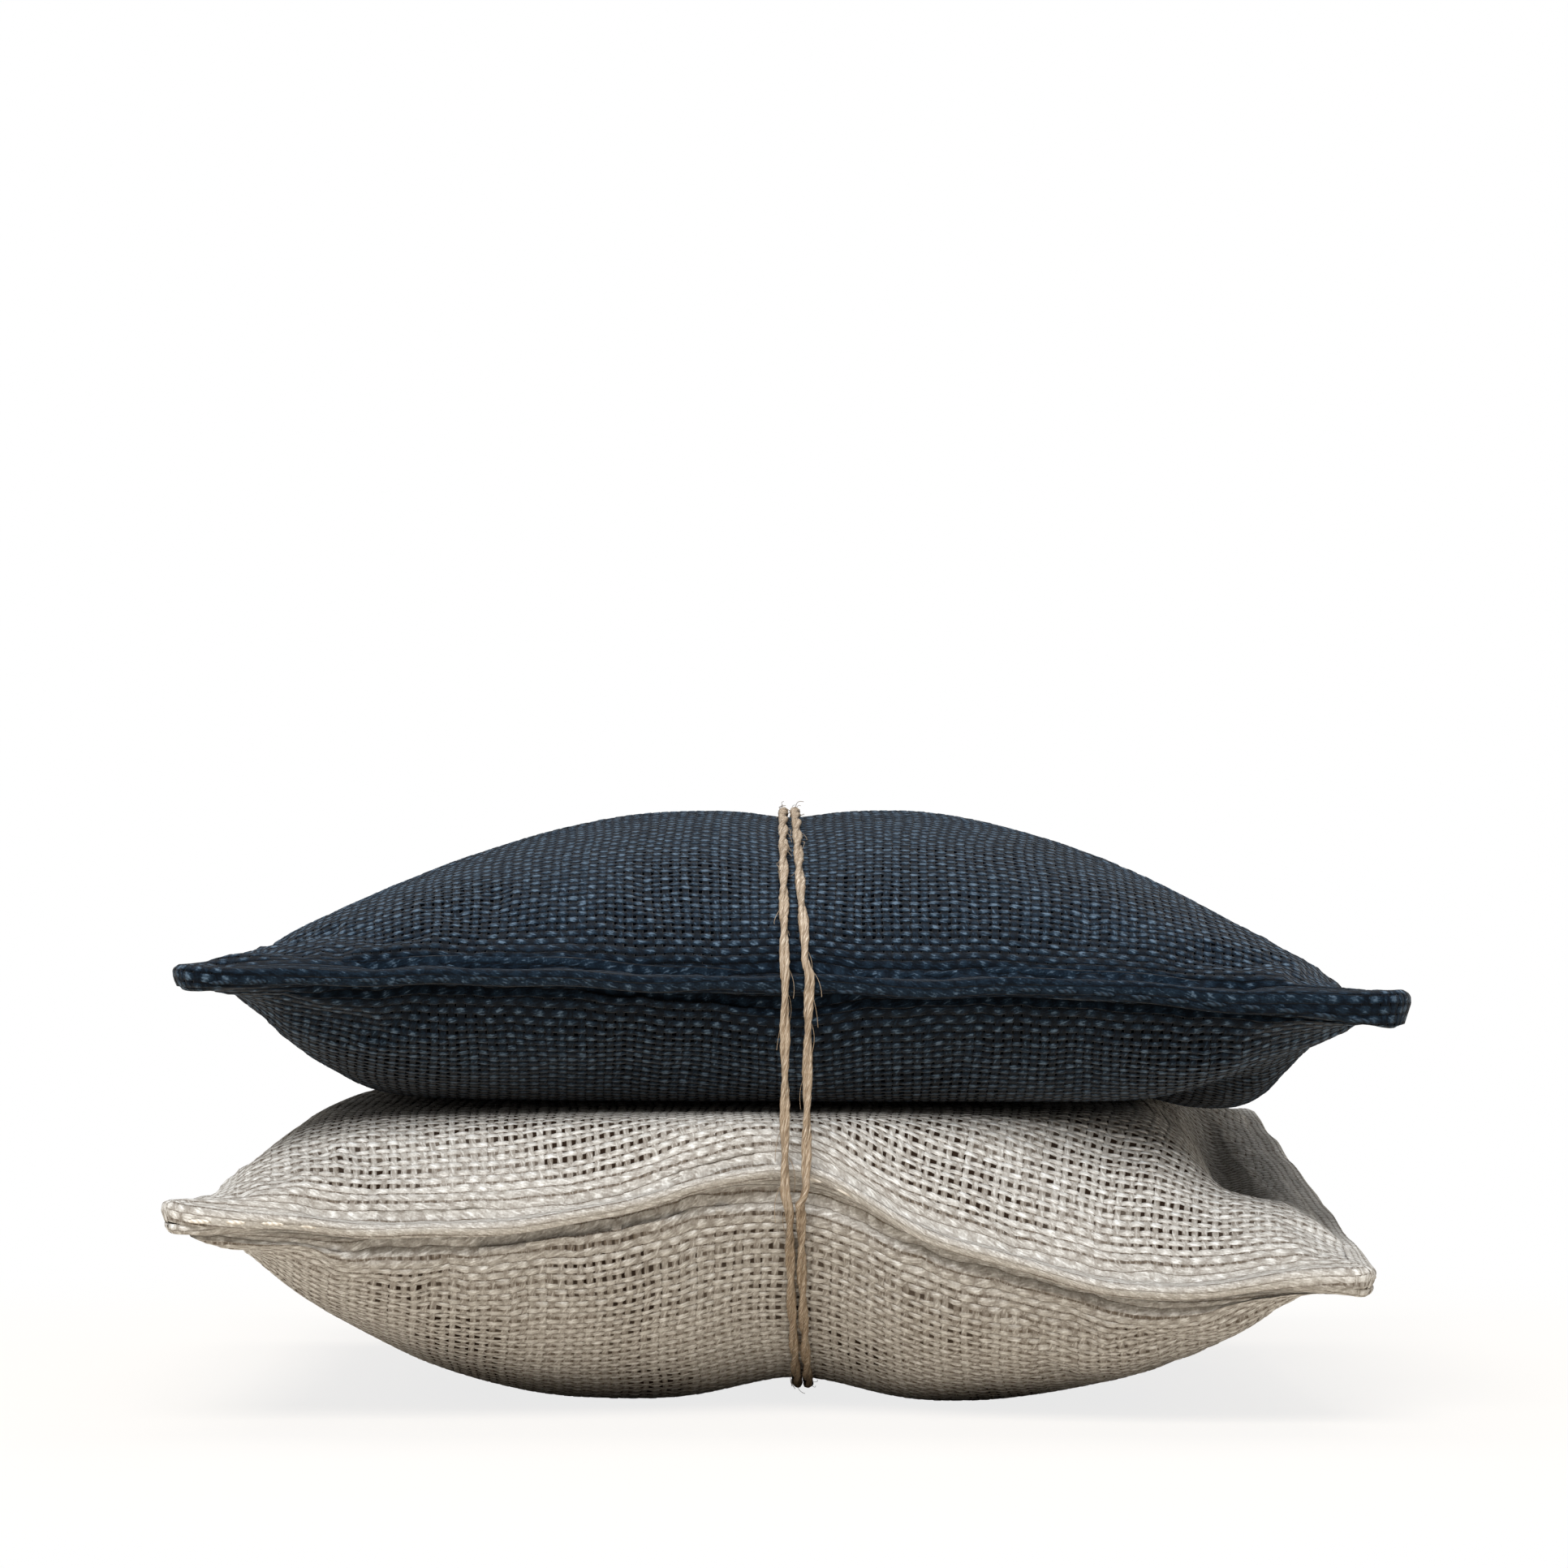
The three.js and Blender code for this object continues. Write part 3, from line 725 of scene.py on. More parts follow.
weave = bpy.data.node_groups.new("plain_weave", "ShaderNodeTree")
WEAVE_SIZES = {"Half width": 0.42, "Opening": 0.0, "Slub": 0.2, "Weft": 1.0, "Warp": 0.3}
for name, start in WEAVE_SIZES.items():
    size_socket = weave.interface.new_socket(name, in_out="INPUT", socket_type="NodeSocketFloat")
    size_socket.default_value = start
for name in ("Height", "Hole", "Tone", "Fibre", "Warp"):
    weave.interface.new_socket(name, in_out="OUTPUT", socket_type="NodeSocketFloat")

woven = add(weave, "NodeGroupInput", out=None).outputs
thread_map = add(weave, "ShaderNodeUVMap", uv_map="weave")
counts = add(weave, "ShaderNodeSeparateXYZ", {0: thread_map}, out=None).outputs
hole_open = add(weave, ATTRIBUTE, out="Fac", attribute_name="open")
packed_by = add(weave, ATTRIBUTE, out="Fac", attribute_name="packed")
pull = add(weave, MATH, {0: packed_by}, operation="ABSOLUTE")
calm = add(weave, MATH, {0: pull, 1: -CALM, 2: 1.0}, operation="MULTIPLY_ADD", use_clamp=True)
narrowed = add(weave, MATH, {0: hole_open, 1: woven["Opening"]}, operation="MULTIPLY")
crowding = add(weave, RANGE, {0: pull, 1: CROWDED_FROM, 2: CROWDED_TO, 4: CROWDED_BY})
half_width = add(weave, MATH, {0: woven["Half width"], 1: narrowed}, operation="SUBTRACT")
half_width = add(weave, MATH, {0: half_width, 1: crowding}, operation="ADD")
print("weave inputs:", list(WEAVE_SIZES))

# %% [markdown]
# ### Threads one way
#
# A thread's back is round across its width. Its width swells in slubs a few threads long. Fibres
# lie along it at a slant, as spinning twists them, and each thread has a tone of its own.

# %% Threads one way
SLUB_RUN = 8 / 3  # mm along a slub
FIBRE_WIDTH = 0.2  # mm across a streak of fibres
FIBRE_LEAN = 0.3  # how far a streak goes sideways for its length
APART = 7.31  # keeps the noise of one thread away from its neighbour's
FRAY = 0.3  # how softly a thread ends at its edges


def threads_one_way(across, along, seed):
    number = add(weave, MATH, {0: across}, operation="FLOOR")
    off = add(weave, MATH, {0: across}, operation="FRACT")
    off = add(weave, MATH, {0: off, 1: 0.5}, operation="SUBTRACT")
    step = add(weave, MATH, {0: along, 1: PITCH / SLUB_RUN}, operation="MULTIPLY")
    apart = add(weave, MATH, {0: number, 1: APART}, operation="MULTIPLY")
    spot = add(weave, XYZ, {0: apart, 1: step, 2: seed})
    slub = add(weave, NOISE, {"Vector": spot, "Scale": 1.0, "Detail": 2.0}, out="Fac")
    slub = add(weave, MATH, {0: slub, 1: 0.5}, operation="SUBTRACT")
    half = add(weave, MATH, {0: slub, 1: woven["Slub"], 2: half_width}, operation="MULTIPLY_ADD")
    share = add(weave, MATH, {0: off, 1: half}, operation="DIVIDE")
    square = add(weave, MATH, {0: share, 1: share}, operation="MULTIPLY")
    left = add(weave, MATH, {0: 1.0, 1: square}, operation="SUBTRACT", use_clamp=True)
    back = add(weave, MATH, {0: left}, operation="SQRT")
    covered = add(weave, RANGE, {0: left, 1: 0.0, 2: FRAY}, interpolation_type="SMOOTHSTEP")
    swing = add(weave, MATH, {0: off, 1: math.pi}, operation="MULTIPLY")
    swing = add(weave, MATH, {0: swing}, operation="COSINE")
    tone = add(weave, "ShaderNodeTexWhiteNoise", {"W": apart}, out="Value", noise_dimensions="1D")
    slant = add(weave, MATH, {0: along, 1: FIBRE_LEAN, 2: across}, operation="MULTIPLY_ADD")
    slant = add(weave, MATH, {0: slant, 1: PITCH / FIBRE_WIDTH}, operation="MULTIPLY")
    spot = add(weave, XYZ, {0: slant, 1: along, 2: seed})
    fibre = add(weave, NOISE, {"Vector": spot, "Scale": 1.0, "Detail": 3.0}, out="Fac")
    return dict(number=number, back=back, covered=covered, swing=swing, tone=tone, fibre=fibre)


warp = threads_one_way(counts[0], counts[1], 3.0)
weft = threads_one_way(counts[1], counts[0], 57.0)
print("a thread set gives:", list(warp))

# %% [markdown]
# ### Over and under
#
# At odd crossings the weft rides over the warp, at even ones under it. The higher of the two is
# what is seen, and where neither covers the cloth there is a hole. Where the cloth is packed one
# set lies over the other throughout.

# %% Over and under
BACK_HEIGHT = 0.55  # of a thread, before it rides over another
BLEND, SWITCH = 0.2, 0.1  # how softly the higher thread takes over, in height and in tone

both = add(weave, MATH, {0: warp["number"], 1: weft["number"]}, operation="ADD")
odd = add(weave, MATH, {0: both, 1: 2.0}, operation="FLOORED_MODULO")
heights = []
for run, crossed, lift, way in ((warp, weft, woven["Warp"], -1.0), (weft, warp, woven["Weft"], 1.0)):
    over = add(weave, MATH, {0: odd, 1: way, 2: -way / 2}, operation="MULTIPLY_ADD")
    for factor in (lift, calm, crossed["swing"]):
        over = add(weave, MATH, {0: over, 1: factor}, operation="MULTIPLY")
    top = add(weave, MATH, {0: run["back"], 1: BACK_HEIGHT, 2: over}, operation="MULTIPLY_ADD")
    top = add(weave, MATH, {0: packed_by, 1: way, 2: top}, operation="MULTIPLY_ADD")
    top = add(weave, MATH, {0: top, 1: 1.0}, operation="ADD")
    heights.append(add(weave, MATH, {0: top, 1: run["covered"]}, operation="MULTIPLY"))
height = add(weave, MATH, {0: heights[0], 1: heights[1], 2: BLEND}, operation="SMOOTH_MAX")
higher = add(weave, MATH, {0: heights[0], 1: heights[1]}, operation="SUBTRACT")
is_warp = add(weave, RANGE, {0: higher, 1: -SWITCH, 2: SWITCH}, interpolation_type="SMOOTHSTEP")
filled = add(weave, MATH, {0: warp["covered"], 1: weft["covered"]}, operation="MAXIMUM")
add(weave, "NodeGroupOutput", {
    "Height": add(weave, MATH, {0: height, 1: pull}, operation="SUBTRACT"),
    "Hole": add(weave, MATH, {0: 1.0, 1: filled}, operation="SUBTRACT"),
    "Tone": add(weave, MIX, {0: is_warp, 2: weft["tone"], 3: warp["tone"]}),
    "Fibre": add(weave, MIX, {0: is_warp, 2: weft["fibre"], 3: warp["fibre"]}),
    "Warp": is_warp,
}, out=None)
print("weave group:", len(weave.nodes), "nodes")

# %% [markdown]
# ### Two linens
#
# The natural linen is undyed flax. Its colour is painted brownish between the threads as painted
# shade and pale on their backs as painted highlight, and its holes are painted dark as painted shade
# of the inside. The navy one is dyed, and painted deepest between the threads as painted shade and
# paler on top as painted highlight. Colour follows height, fibre streaks (their own tone with some
# painted sheen), the warp (painted a little darker as painted shade) and the tone of each thread
# through one ramp. Roughness is high, and a weak sheen stands for the down on the yarn.

# %% Linen
TUFT = 0.2  # mm across a tuft of down
STREAK_FROM, STREAK_TO = 0.46, 0.7  # fibre noise at which a streak begins, and is full
# The warp is painted a little darker, as painted shade.
THREAD_TONE, WARP_PAINTED_SHADE, BASE_TONE = 0.14, -0.05, 0.03  # what a thread, the warp and all add
YARN_HEIGHT = 0.2  # mm, what the bump stands for


def new_material(name):
    material = bpy.data.materials.new(name)
    material.use_nodes = True
    material.node_tree.nodes.clear()
    return material, material.node_tree


def ramp(tree, factor, *stops):
    """A colour ramp from places and hex colours, the two ends first."""
    node = add(tree, RAMP, {0: factor}, out=None)
    elements = node.color_ramp.elements
    for element, (place, code) in zip(list(elements), stops):
        element.position, element.color = place, colour(code)
    for place, code in stops[2:]:
        elements.new(place).color = colour(code)
    return node.outputs[0]


def linen(name, yarn, crest, streak_and_painted_sheen, patch, hole_shade, threads, bump, gloss, sheen):
    """Plain-weave linen, matt and streaky. Yarn holds four colours, from painted shade between the
    threads to painted highlight on the top of them. Two more colours are for a shut and an open
    hole, painted dark as painted shade of the inside."""
    material, tree = new_material(name)
    cloth = add(tree, "ShaderNodeGroup", threads, out=None, node_tree=weave).outputs
    place = add(tree, "ShaderNodeUVMap", uv_map="weave")
    # Painted shade and painted highlight: the colour darkens where the yarn lies low and pales on the
    # tops of the threads.
    lowest, highest, dark, light = crest
    top = add(tree, RANGE, {0: cloth["Height"], 1: lowest, 2: highest, 3: dark, 4: light})
    fluff = add(tree, NOISE, {"Vector": place, "Scale": PITCH / TUFT, "Detail": 3.0}, out="Fac")
    fluff = add(tree, MATH, {0: fluff, 1: 0.5}, operation="SUBTRACT")
    # Fibre streaks lighten the colour: partly the fibres' own tone, partly painted sheen along the yarn.
    fibres = {0: cloth["Fibre"], 1: STREAK_FROM, 2: STREAK_TO, 4: streak_and_painted_sheen}
    lit = add(tree, RANGE, fibres, interpolation_type="SMOOTHSTEP")
    # Fluff and thread tone are the yarn's own; the warp's part is painted shade.
    for source, amount in ((fluff, patch), (cloth["Tone"], THREAD_TONE), (cloth["Warp"], WARP_PAINTED_SHADE)):
        lit = add(tree, MATH, {0: source, 1: amount, 2: lit}, operation="MULTIPLY_ADD")
    lit = add(tree, MATH, {0: lit, 1: BASE_TONE}, operation="ADD")
    lit = add(tree, MATH, {0: top, 1: lit}, operation="ADD")
    body = ramp(tree, lit, (0.05, yarn[0]), (0.95, yarn[3]), (0.35, yarn[1]), (0.62, yarn[2]))
    is_open = add(tree, ATTRIBUTE, out="Fac", attribute_name="open")
    # Holes are painted dark, as painted shade of the inside; shut ones less dark.
    shut_hole_shade, open_hole_shade = (colour(code) for code in hole_shade)
    gap = add(tree, MIX, {0: is_open, 6: shut_hole_shade, 7: open_hole_shade}, out=2, data_type="RGBA")
    final = add(tree, MIX, {0: cloth["Hole"], 6: body, 7: gap}, out=2, data_type="RGBA")
    fine = {0: cloth["Fibre"], 1: 0.5, 2: cloth["Height"]}
    fine = add(tree, MATH, fine, operation="MULTIPLY_ADD")
    raised = add(tree, BUMP, {"Strength": bump, "Distance": YARN_HEIGHT * MM, "Height": fine})
    yarn_only = add(tree, MATH, {0: 1.0, 1: cloth["Hole"]}, operation="SUBTRACT")
    shine, down = (
        add(tree, MATH, {0: yarn_only, 1: amount}, operation="MULTIPLY") for amount in (gloss, sheen))
    skin = add(tree, SKIN, {
        "Base Color": final, "Roughness": 0.85, "Normal": raised,
        "Specular IOR Level": shine, "Sheen Weight": down, "Sheen Roughness": 0.5})
    add(tree, SURFACE, {0: skin}, out=None)
    return material


# Each yarn runs from painted shade between the threads to painted highlight on top; the hole colours are
# painted shade of the inside.
natural_linen = linen(
    "linen_natural_open_weave",
    yarn=("#675c50", "#a39e97", "#d0cec9", "#f7f8f7"), crest=(0.8, 1.9, 0.0, 0.5),
    streak_and_painted_sheen=0.3, patch=0.5, hole_shade=("#7a7066", "#2a2019"),
    threads={"Half width": 0.44, "Opening": 0.11, "Slub": 0.25, "Weft": 1.0, "Warp": 0.7},
    bump=0.55, gloss=0.15, sheen=0.1,
)
navy_linen = linen(
    "linen_dyed_navy",
    yarn=("#02060c", "#060f19", "#162533", "#56697b"), crest=(1.0, 1.9, -0.03, 0.62),
    streak_and_painted_sheen=0.26, patch=0.5, hole_shade=("#03060a", "#010204"),
    threads={"Half width": 0.46, "Opening": 0.1, "Slub": 0.2, "Weft": 1.0, "Warp": 0.8},
    bump=0.8, gloss=0.05, sheen=0.1,
)
print("linens:", natural_linen.name, navy_linen.name)

# %% [markdown]
# ## The four panels
#
# Each sachet has an upper and a lower panel of the same cloth. The two cloths differ in how evenly
# they were beaten: the natural one has open holes and wefts in pairs, the navy one is closer. Each
# panel has its own seed, so no two have the same threads.

# %% Weave the panels
NAVY_CLOTH = dict(
    wander=0.05, drift=0.3, pairs=0.04, slub=0.02, crown=0.05, sink=0.06, uneven=0.4, between=0.8,
    open={1: 0.4, -1: 0.5}, weft_over=0.07,
)
NATURAL_CLOTH = dict(
    wander=0.05, drift=0.3, pairs=0.13, slub=0.02, crown=0.045, sink=0.09, uneven=0.3, between=0.5,
    open={1: 0.85, -1: 0.3}, weft_over=0.12,
)
CLOTHS = {
    "navy": (NAVY, NAVY_CLOTH, navy_linen, "navy_linen"),
    "natural": (NATURAL, NATURAL_CLOTH, natural_linen, "natural_linen"),
}
for seed, (name, (sachet, cloth, material, slot)) in enumerate(CLOTHS.items()):
    for side, node in ((1, f"{name}_top_panel"), (-1, f"{name}_bottom_panel")):
        panel = link(woven_panel(sachet, side, cloth, 10 * seed + side + 1), material)
        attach(panel, "root")
        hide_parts(node)

# %% [markdown]
# ## Pieces that repeat along a line
#
# Stitches, plies and buds repeat many times, so node trees place them. Each tree is given its
# sizes by name, runs once, and leaves a plain mesh.


# %% Run a node tree once
def polyline(name, *runs):
    """A mesh of bare edges along one or more runs of points."""
    points, edges = [], []
    for run in runs:
        first = len(points)
        points += (np.asarray(run) * MM).tolist()
        edges += [(i, i + 1) for i in range(first, len(points) - 1)]
    mesh = bpy.data.meshes.new(name)
    mesh.from_pydata(points, edges, [])
    return mesh


def new_tree(name, sizes):
    """A tree that takes a geometry, sizes and a material; also gives its inputs by name."""
    tree = bpy.data.node_groups.new(name, "GeometryNodeTree")
    tree.interface.new_socket("Geometry", in_out="INPUT", socket_type="NodeSocketGeometry")
    for size in sizes:
        tree.interface.new_socket(size, in_out="INPUT", socket_type="NodeSocketFloat")
    tree.interface.new_socket("Material", in_out="INPUT", socket_type="NodeSocketMaterial")
    tree.interface.new_socket("Geometry", in_out="OUTPUT", socket_type="NodeSocketGeometry")
    return tree, add(tree, "NodeGroupInput", out=None).outputs


def end_tree(tree, given, geometry):
    plain = add(tree, "GeometryNodeRealizeInstances", {0: geometry})
    smooth = add(tree, "GeometryNodeSetShadeSmooth", {0: plain})
    done = add(tree, "GeometryNodeSetMaterial", {0: smooth, 2: given["Material"]})
    add(tree, "NodeGroupOutput", {0: done}, out=None)
    print(tree.name, len(tree.nodes), "nodes")
    return tree


def grow(name, source, tree, material, **sizes):
    """Runs a tree on a mesh with the sizes named, and keeps the result as a plain mesh."""
    holder = bpy.data.objects.new(name, source)
    bpy.context.scene.collection.objects.link(holder)
    modifier = holder.modifiers.new("grow", "NODES")
    modifier.node_group = tree
    values = {key.replace("_", " ").capitalize(): value for key, value in sizes.items()}
    values["Material"] = material
    for item in tree.interface.items_tree:
        if item.in_out == "INPUT" and item.name in values:
            modifier[item.identifier] = values[item.name]
    graph = bpy.context.evaluated_depsgraph_get()
    mesh = bpy.data.meshes.new_from_object(holder.evaluated_get(graph), depsgraph=graph)
    bpy.data.objects.remove(holder)
    mesh.name = name
    piece = bpy.data.objects.new(name, mesh)
    bpy.context.scene.collection.objects.link(piece)
    print(name, len(mesh.polygons), "faces")
    return piece


# %% [markdown]
# ## Sewn edges
#
# The two hems of a sachet are sewn together close to the fold. From outside each stitch shows as a
# short dash of thread lying in the groove between the hems. A line is laid along the foot of each
# hem, and a node tree sets a dash on it at every stitch.

# %% Sewing thread
THREAD_TWIST = 0.524  # mm from one turn of the thread's twist to the next


def thread_material(name, dark, light):
    """Spun sewing thread: a fine slanting twist, with painted shade in its grooves, slightly brighter
    than the cloth.
    """
    material, tree = new_material(name)
    where = add(tree, "ShaderNodeTexCoord", out="Object")
    scale = 2 * math.pi / (10 * THREAD_TWIST * MM)
    bands = {"Vector": where, "Scale": scale, "Distortion": 2.0}
    twist_bands = add(tree, "ShaderNodeTexWave", bands, out="Fac", bands_direction="DIAGONAL")
    # The darker bands of the twist are painted shade in its grooves.
    tones = {0: twist_bands, 6: colour(dark), 7: colour(light)}
    body = add(tree, MIX, tones, out=2, data_type="RGBA")
    raised = add(tree, BUMP, {"Strength": 0.4, "Distance": 0.05 * MM, "Height": twist_bands})
    skin = add(tree, SKIN, {
        "Base Color": body, "Roughness": 0.6, "Normal": raised, "Specular IOR Level": 0.15})
    add(tree, SURFACE, {0: skin}, out=None)
    return material


natural_thread = thread_material("spun_thread_natural", "#cfc6b8", "#f6f2ea")
navy_thread = thread_material("spun_thread_navy", "#0d1620", "#2a3a48")
print("threads:", natural_thread.name, navy_thread.name)

# %% Stitches
STITCH = dict(pitch=2.9 * MM, length=1.9 * MM, thread=0.36 * MM)
LAST_STITCH = 0.93  # how far along a side the stitches go, short of its corners
STITCH_DEPTH = 0.15  # mm, how far above the foot of the hem the needle goes in


def running_stitch():
    tree, given = new_tree("running_stitch", ("Pitch", "Length", "Thread"))
    line = add(tree, "GeometryNodeMeshToCurve", {0: given["Geometry"]})
    steps = {"Curve": line, "Length": given["Pitch"]}
    spots = add(tree, "GeometryNodeResampleCurve", steps, mode="LENGTH")
    dash = add(tree, "GeometryNodeMeshUVSphere", {"Segments": 8, "Rings": 5, "Radius": 0.5})
    along = add(tree, "GeometryNodeInputTangent")
    turned = add(tree, "FunctionNodeAlignRotationToVector", {"Vector": along}, axis="X")
    sway = add(tree, "FunctionNodeRandomValue", {2: 0.85, 3: 1.15, "Seed": 4}, out=1)
    long = add(tree, MATH, {0: given["Length"], 1: sway}, operation="MULTIPLY")
    scale = add(tree, XYZ, {0: long, 1: given["Thread"], 2: given["Thread"]})
    sewn = {"Points": spots, "Instance": dash, "Rotation": turned, "Scale": scale}
    return end_tree(tree, given, add(tree, "GeometryNodeInstanceOnPoints", sewn))


def seam_lines(sachet):
    """The foot of the hem's face on each side, where the needle goes in, short of the corners."""
    along = np.linspace(-LAST_STITCH, LAST_STITCH, 187)
    one = np.ones_like(along)
    s = np.concatenate([along, one, -along, -one])
    t = np.concatenate([-one, along, one, -along])
    thicker, radius, fall, lean = hem_size(sachet, s, t)
    out, down = hem_way(radius * lean + fall - STITCH_DEPTH, radius, fall, lean)
    u, v, way = rounded(s, t)
    height = seam(sachet, u, v) + EDGE + thicker - down
    line = np.stack([*plan(sachet, u, v), height], axis=-1)
    line = line + way * (out - radius + sachet["finger"] * at_corner(s, t) + SNUG)[:, None]
    return np.split(line, 4)


stitching = running_stitch()
for sachet, material in ((NAVY, navy_thread), (NATURAL, natural_thread)):
    name = sachet["name"]
    line = polyline(f"{name}_seam", *seam_lines(sachet))
    stitches = grow(f"{name}_edge_stitches", line, stitching, material, **STITCH)
    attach(stitches, "root")
    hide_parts(f"{name}_edge_thread")

# %% [markdown]
# ## The way of the twine
#
# One length of flax twine goes twice round the pair. Pulled tight it takes the shortest way, so at
# each direction it touches the point of the two sachets that lies furthest out. Behind, its ends
# twist round each other and stand off as two short tails.

# %% Two turns round the pair
CLEAR = 0.05  # mm between twine and cloth
TURN_STEP = 3.2  # degrees
STRAND_TURN = (20, 90, 125, 160, 178, 200, 260, 340)  # degrees: from the back over the top to the foot
STRAND_X = {  # mm, where the left and the right strand lie at those
    -1: (-0.2, -0.07, 0.0, 0.1, 0.1, 0.0, 1.15, 0.4),
    1: (0.9, 0.93, 1.5, 2.2, 2.25, 0.92, 2.08, 1.5),
}


def outline_at(x):
    """Depth and height of the outside of both sachets at one place across."""
    v = np.linspace(-1, 1, 101)
    outline = []
    for sachet in (NAVY, NATURAL):
        u = np.full_like(v, 2 * (x - sachet["centre"]) / (SIDE * WIDE))
        outline += [face(sachet, 1, u, v)[:, 1:], face(sachet, -1, u, v)[:, 1:]]
    return np.concatenate(outline)


def taut_point(x, degrees):
    way = np.array([math.cos(math.radians(degrees)), math.sin(math.radians(degrees))])
    outline = outline_at(x)
    best = outline[np.argmax(outline @ way)] + way * (TWINE / 2 + CLEAR)
    return np.array([x, best[0], best[1]])


def turn(side):
    points = []
    for degrees in np.arange(STRAND_TURN[0], STRAND_TURN[-1] + 0.1, TURN_STEP):
        points.append(taut_point(np.interp(degrees, STRAND_TURN, STRAND_X[side]), degrees))
    return np.array(points)


right, left = turn(1), turn(-1)
print("a turn has", len(right), "points")

# %% Knot, tails and the whole way
KNOT_RADIUS, KNOT_PITCH, KNOT_TWISTS = 0.88, 3.5, 1.5
TAIL_LENGTH, TAIL_RISE = 7.0, 1.5
TAIL_WAY = (0.75, 0.08, -0.3)  # share of its length that a tail goes sideways, back, and droops
PATH_STEP, PATH_PASSES = 0.4, 6


def twist(axis, phase):
    share = np.linspace(0, 1, 37)
    angle = phase + share * KNOT_TWISTS * 2 * math.pi
    x, y = axis[0] + np.sin(angle) * KNOT_RADIUS, axis[1] - np.cos(angle) * KNOT_RADIUS
    return np.stack([x, y, axis[2] + (share - 0.5) * KNOT_PITCH * KNOT_TWISTS], axis=-1)


def tail(start, side, rise):
    share = np.array([0.2, 0.45, 0.7, 1.0])
    sideways, back, droop = (TAIL_LENGTH * part for part in TAIL_WAY)
    x, y = start[0] + side * sideways * share, start[1] + back * share
    return np.stack([x, y, start[2] + rise * share + droop * share**2], axis=-1)


def even_path(points, step, passes):
    """Points at even steps along a line, with its corners eased."""
    run = np.concatenate([[0], np.cumsum(np.linalg.norm(np.diff(points, axis=0), axis=1))])
    at = np.linspace(0, run[-1], round(run[-1] / step) + 1)
    path = np.stack([np.interp(at, run, points[:, k]) for k in range(3)], axis=-1)
    for _ in range(passes):
        path[1:-1] = (path[:-2] + 2 * path[1:-1] + path[2:]) / 4
    return path


axis = (right[0] + left[0] + right[-1] + left[-1]) / 4
behind = np.array([
    [right[-1][0], axis[1], axis[2] - KNOT_PITCH / 2],
    [left[0][0], axis[1], axis[2] + KNOT_PITCH / 2],
])
axis[1] += TWINE + 2 * GAP + KNOT_RADIUS
first, last = twist(axis, math.pi), twist(axis, 0.0)
first_tail, last_tail = tail(first[0], -1, 0.0)[::-1], tail(last[-1], 1, TAIL_RISE)
route = np.concatenate([first_tail, first, right, behind, left, last, last_tail])
twine_path = even_path(route, PATH_STEP, PATH_PASSES)

# %% [markdown]
# ## Plies and loose fibres
#
# The twine is laid from two plies that wind round each other, each a little thicker and thinner as
# spun flax is. Short fibre ends stand off it. A tree offsets the path to both sides by a turning
# vector, sweeps a ring along each, and sets a bent hair every few millimetres.

# %% Two plies
VECTOR, STORE = "ShaderNodeVectorMath", "GeometryNodeStoreNamedAttribute"
TO_MESH, RING = "GeometryNodeCurveToMesh", "GeometryNodeCurvePrimitiveCircle"
SWELL_RUN = 1 / 1.75  # mm along a thick or a thin place
PLY_RADIUS = (0.38, 0.56)  # share of its diameter, where a ply is thin and where it is thick


def ply(tree, line, given, start):
    """One ply, wound round the line from an angle at its start."""
    run = add(tree, "GeometryNodeSplineParameter", out="Length")
    normal, tangent = add(tree, "GeometryNodeInputNormal"), add(tree, "GeometryNodeInputTangent")
    sideways = add(tree, VECTOR, {0: tangent, 1: normal}, operation="CROSS_PRODUCT")
    turns = add(tree, MATH, {0: run, 1: given["Lay"]}, operation="DIVIDE")
    angle = add(tree, MATH, {0: turns, 1: 2 * math.pi, 2: start}, operation="MULTIPLY_ADD")
    parts = []
    for direction, part in ((normal, "COSINE"), (sideways, "SINE")):
        share = add(tree, MATH, {0: angle}, operation=part)
        parts.append(add(tree, VECTOR, {0: direction, "Scale": share}, operation="SCALE"))
    way = add(tree, VECTOR, {0: parts[0], 1: parts[1]}, operation="ADD")
    off = add(tree, VECTOR, {0: way, "Scale": given["Ply offset"]}, operation="SCALE")
    marked = add(tree, STORE, {0: line, "Name": "run", "Value": run}, data_type="FLOAT")
    moved = add(tree, "GeometryNodeSetPosition", {0: marked, "Offset": off})
    uneven = add(tree, MATH, {0: run, 1: SWELL_RUN * MM}, operation="DIVIDE")
    swells = {"W": uneven, "Scale": 1.0, "Detail": 2.0}
    uneven = add(tree, NOISE, swells, out="Fac", noise_dimensions="1D")
    uneven = add(tree, RANGE, {0: uneven, 1: 0.3, 2: 0.7, 3: PLY_RADIUS[0], 4: PLY_RADIUS[1]})
    radius = add(tree, MATH, {0: given["Ply diameter"], 1: uneven}, operation="MULTIPLY")
    ring = add(tree, RING, {"Resolution": 8, "Radius": 1.0})
    around = {0: ring, "Name": "around", "Value": add(tree, "GeometryNodeInputPosition")}
    ring = add(tree, STORE, around, data_type="FLOAT_VECTOR")
    sweep = {"Curve": moved, "Profile Curve": ring, "Scale": radius, "Fill Caps": True}
    return add(tree, TO_MESH, sweep)


print("a ply's radius goes from", *PLY_RADIUS, "of its diameter")

# %% Loose fibres, and both together
HAIR_BEND = ((0.3, 0.0, 0.0), (1.0, 0.3, 1.4), (0.8, -0.3, 3.2))  # mm: foot, bend and tip
HAIR_LEAN, HAIR_LENGTH = 0.15, (0.45, 1.0)  # radians either way, and share of the longest


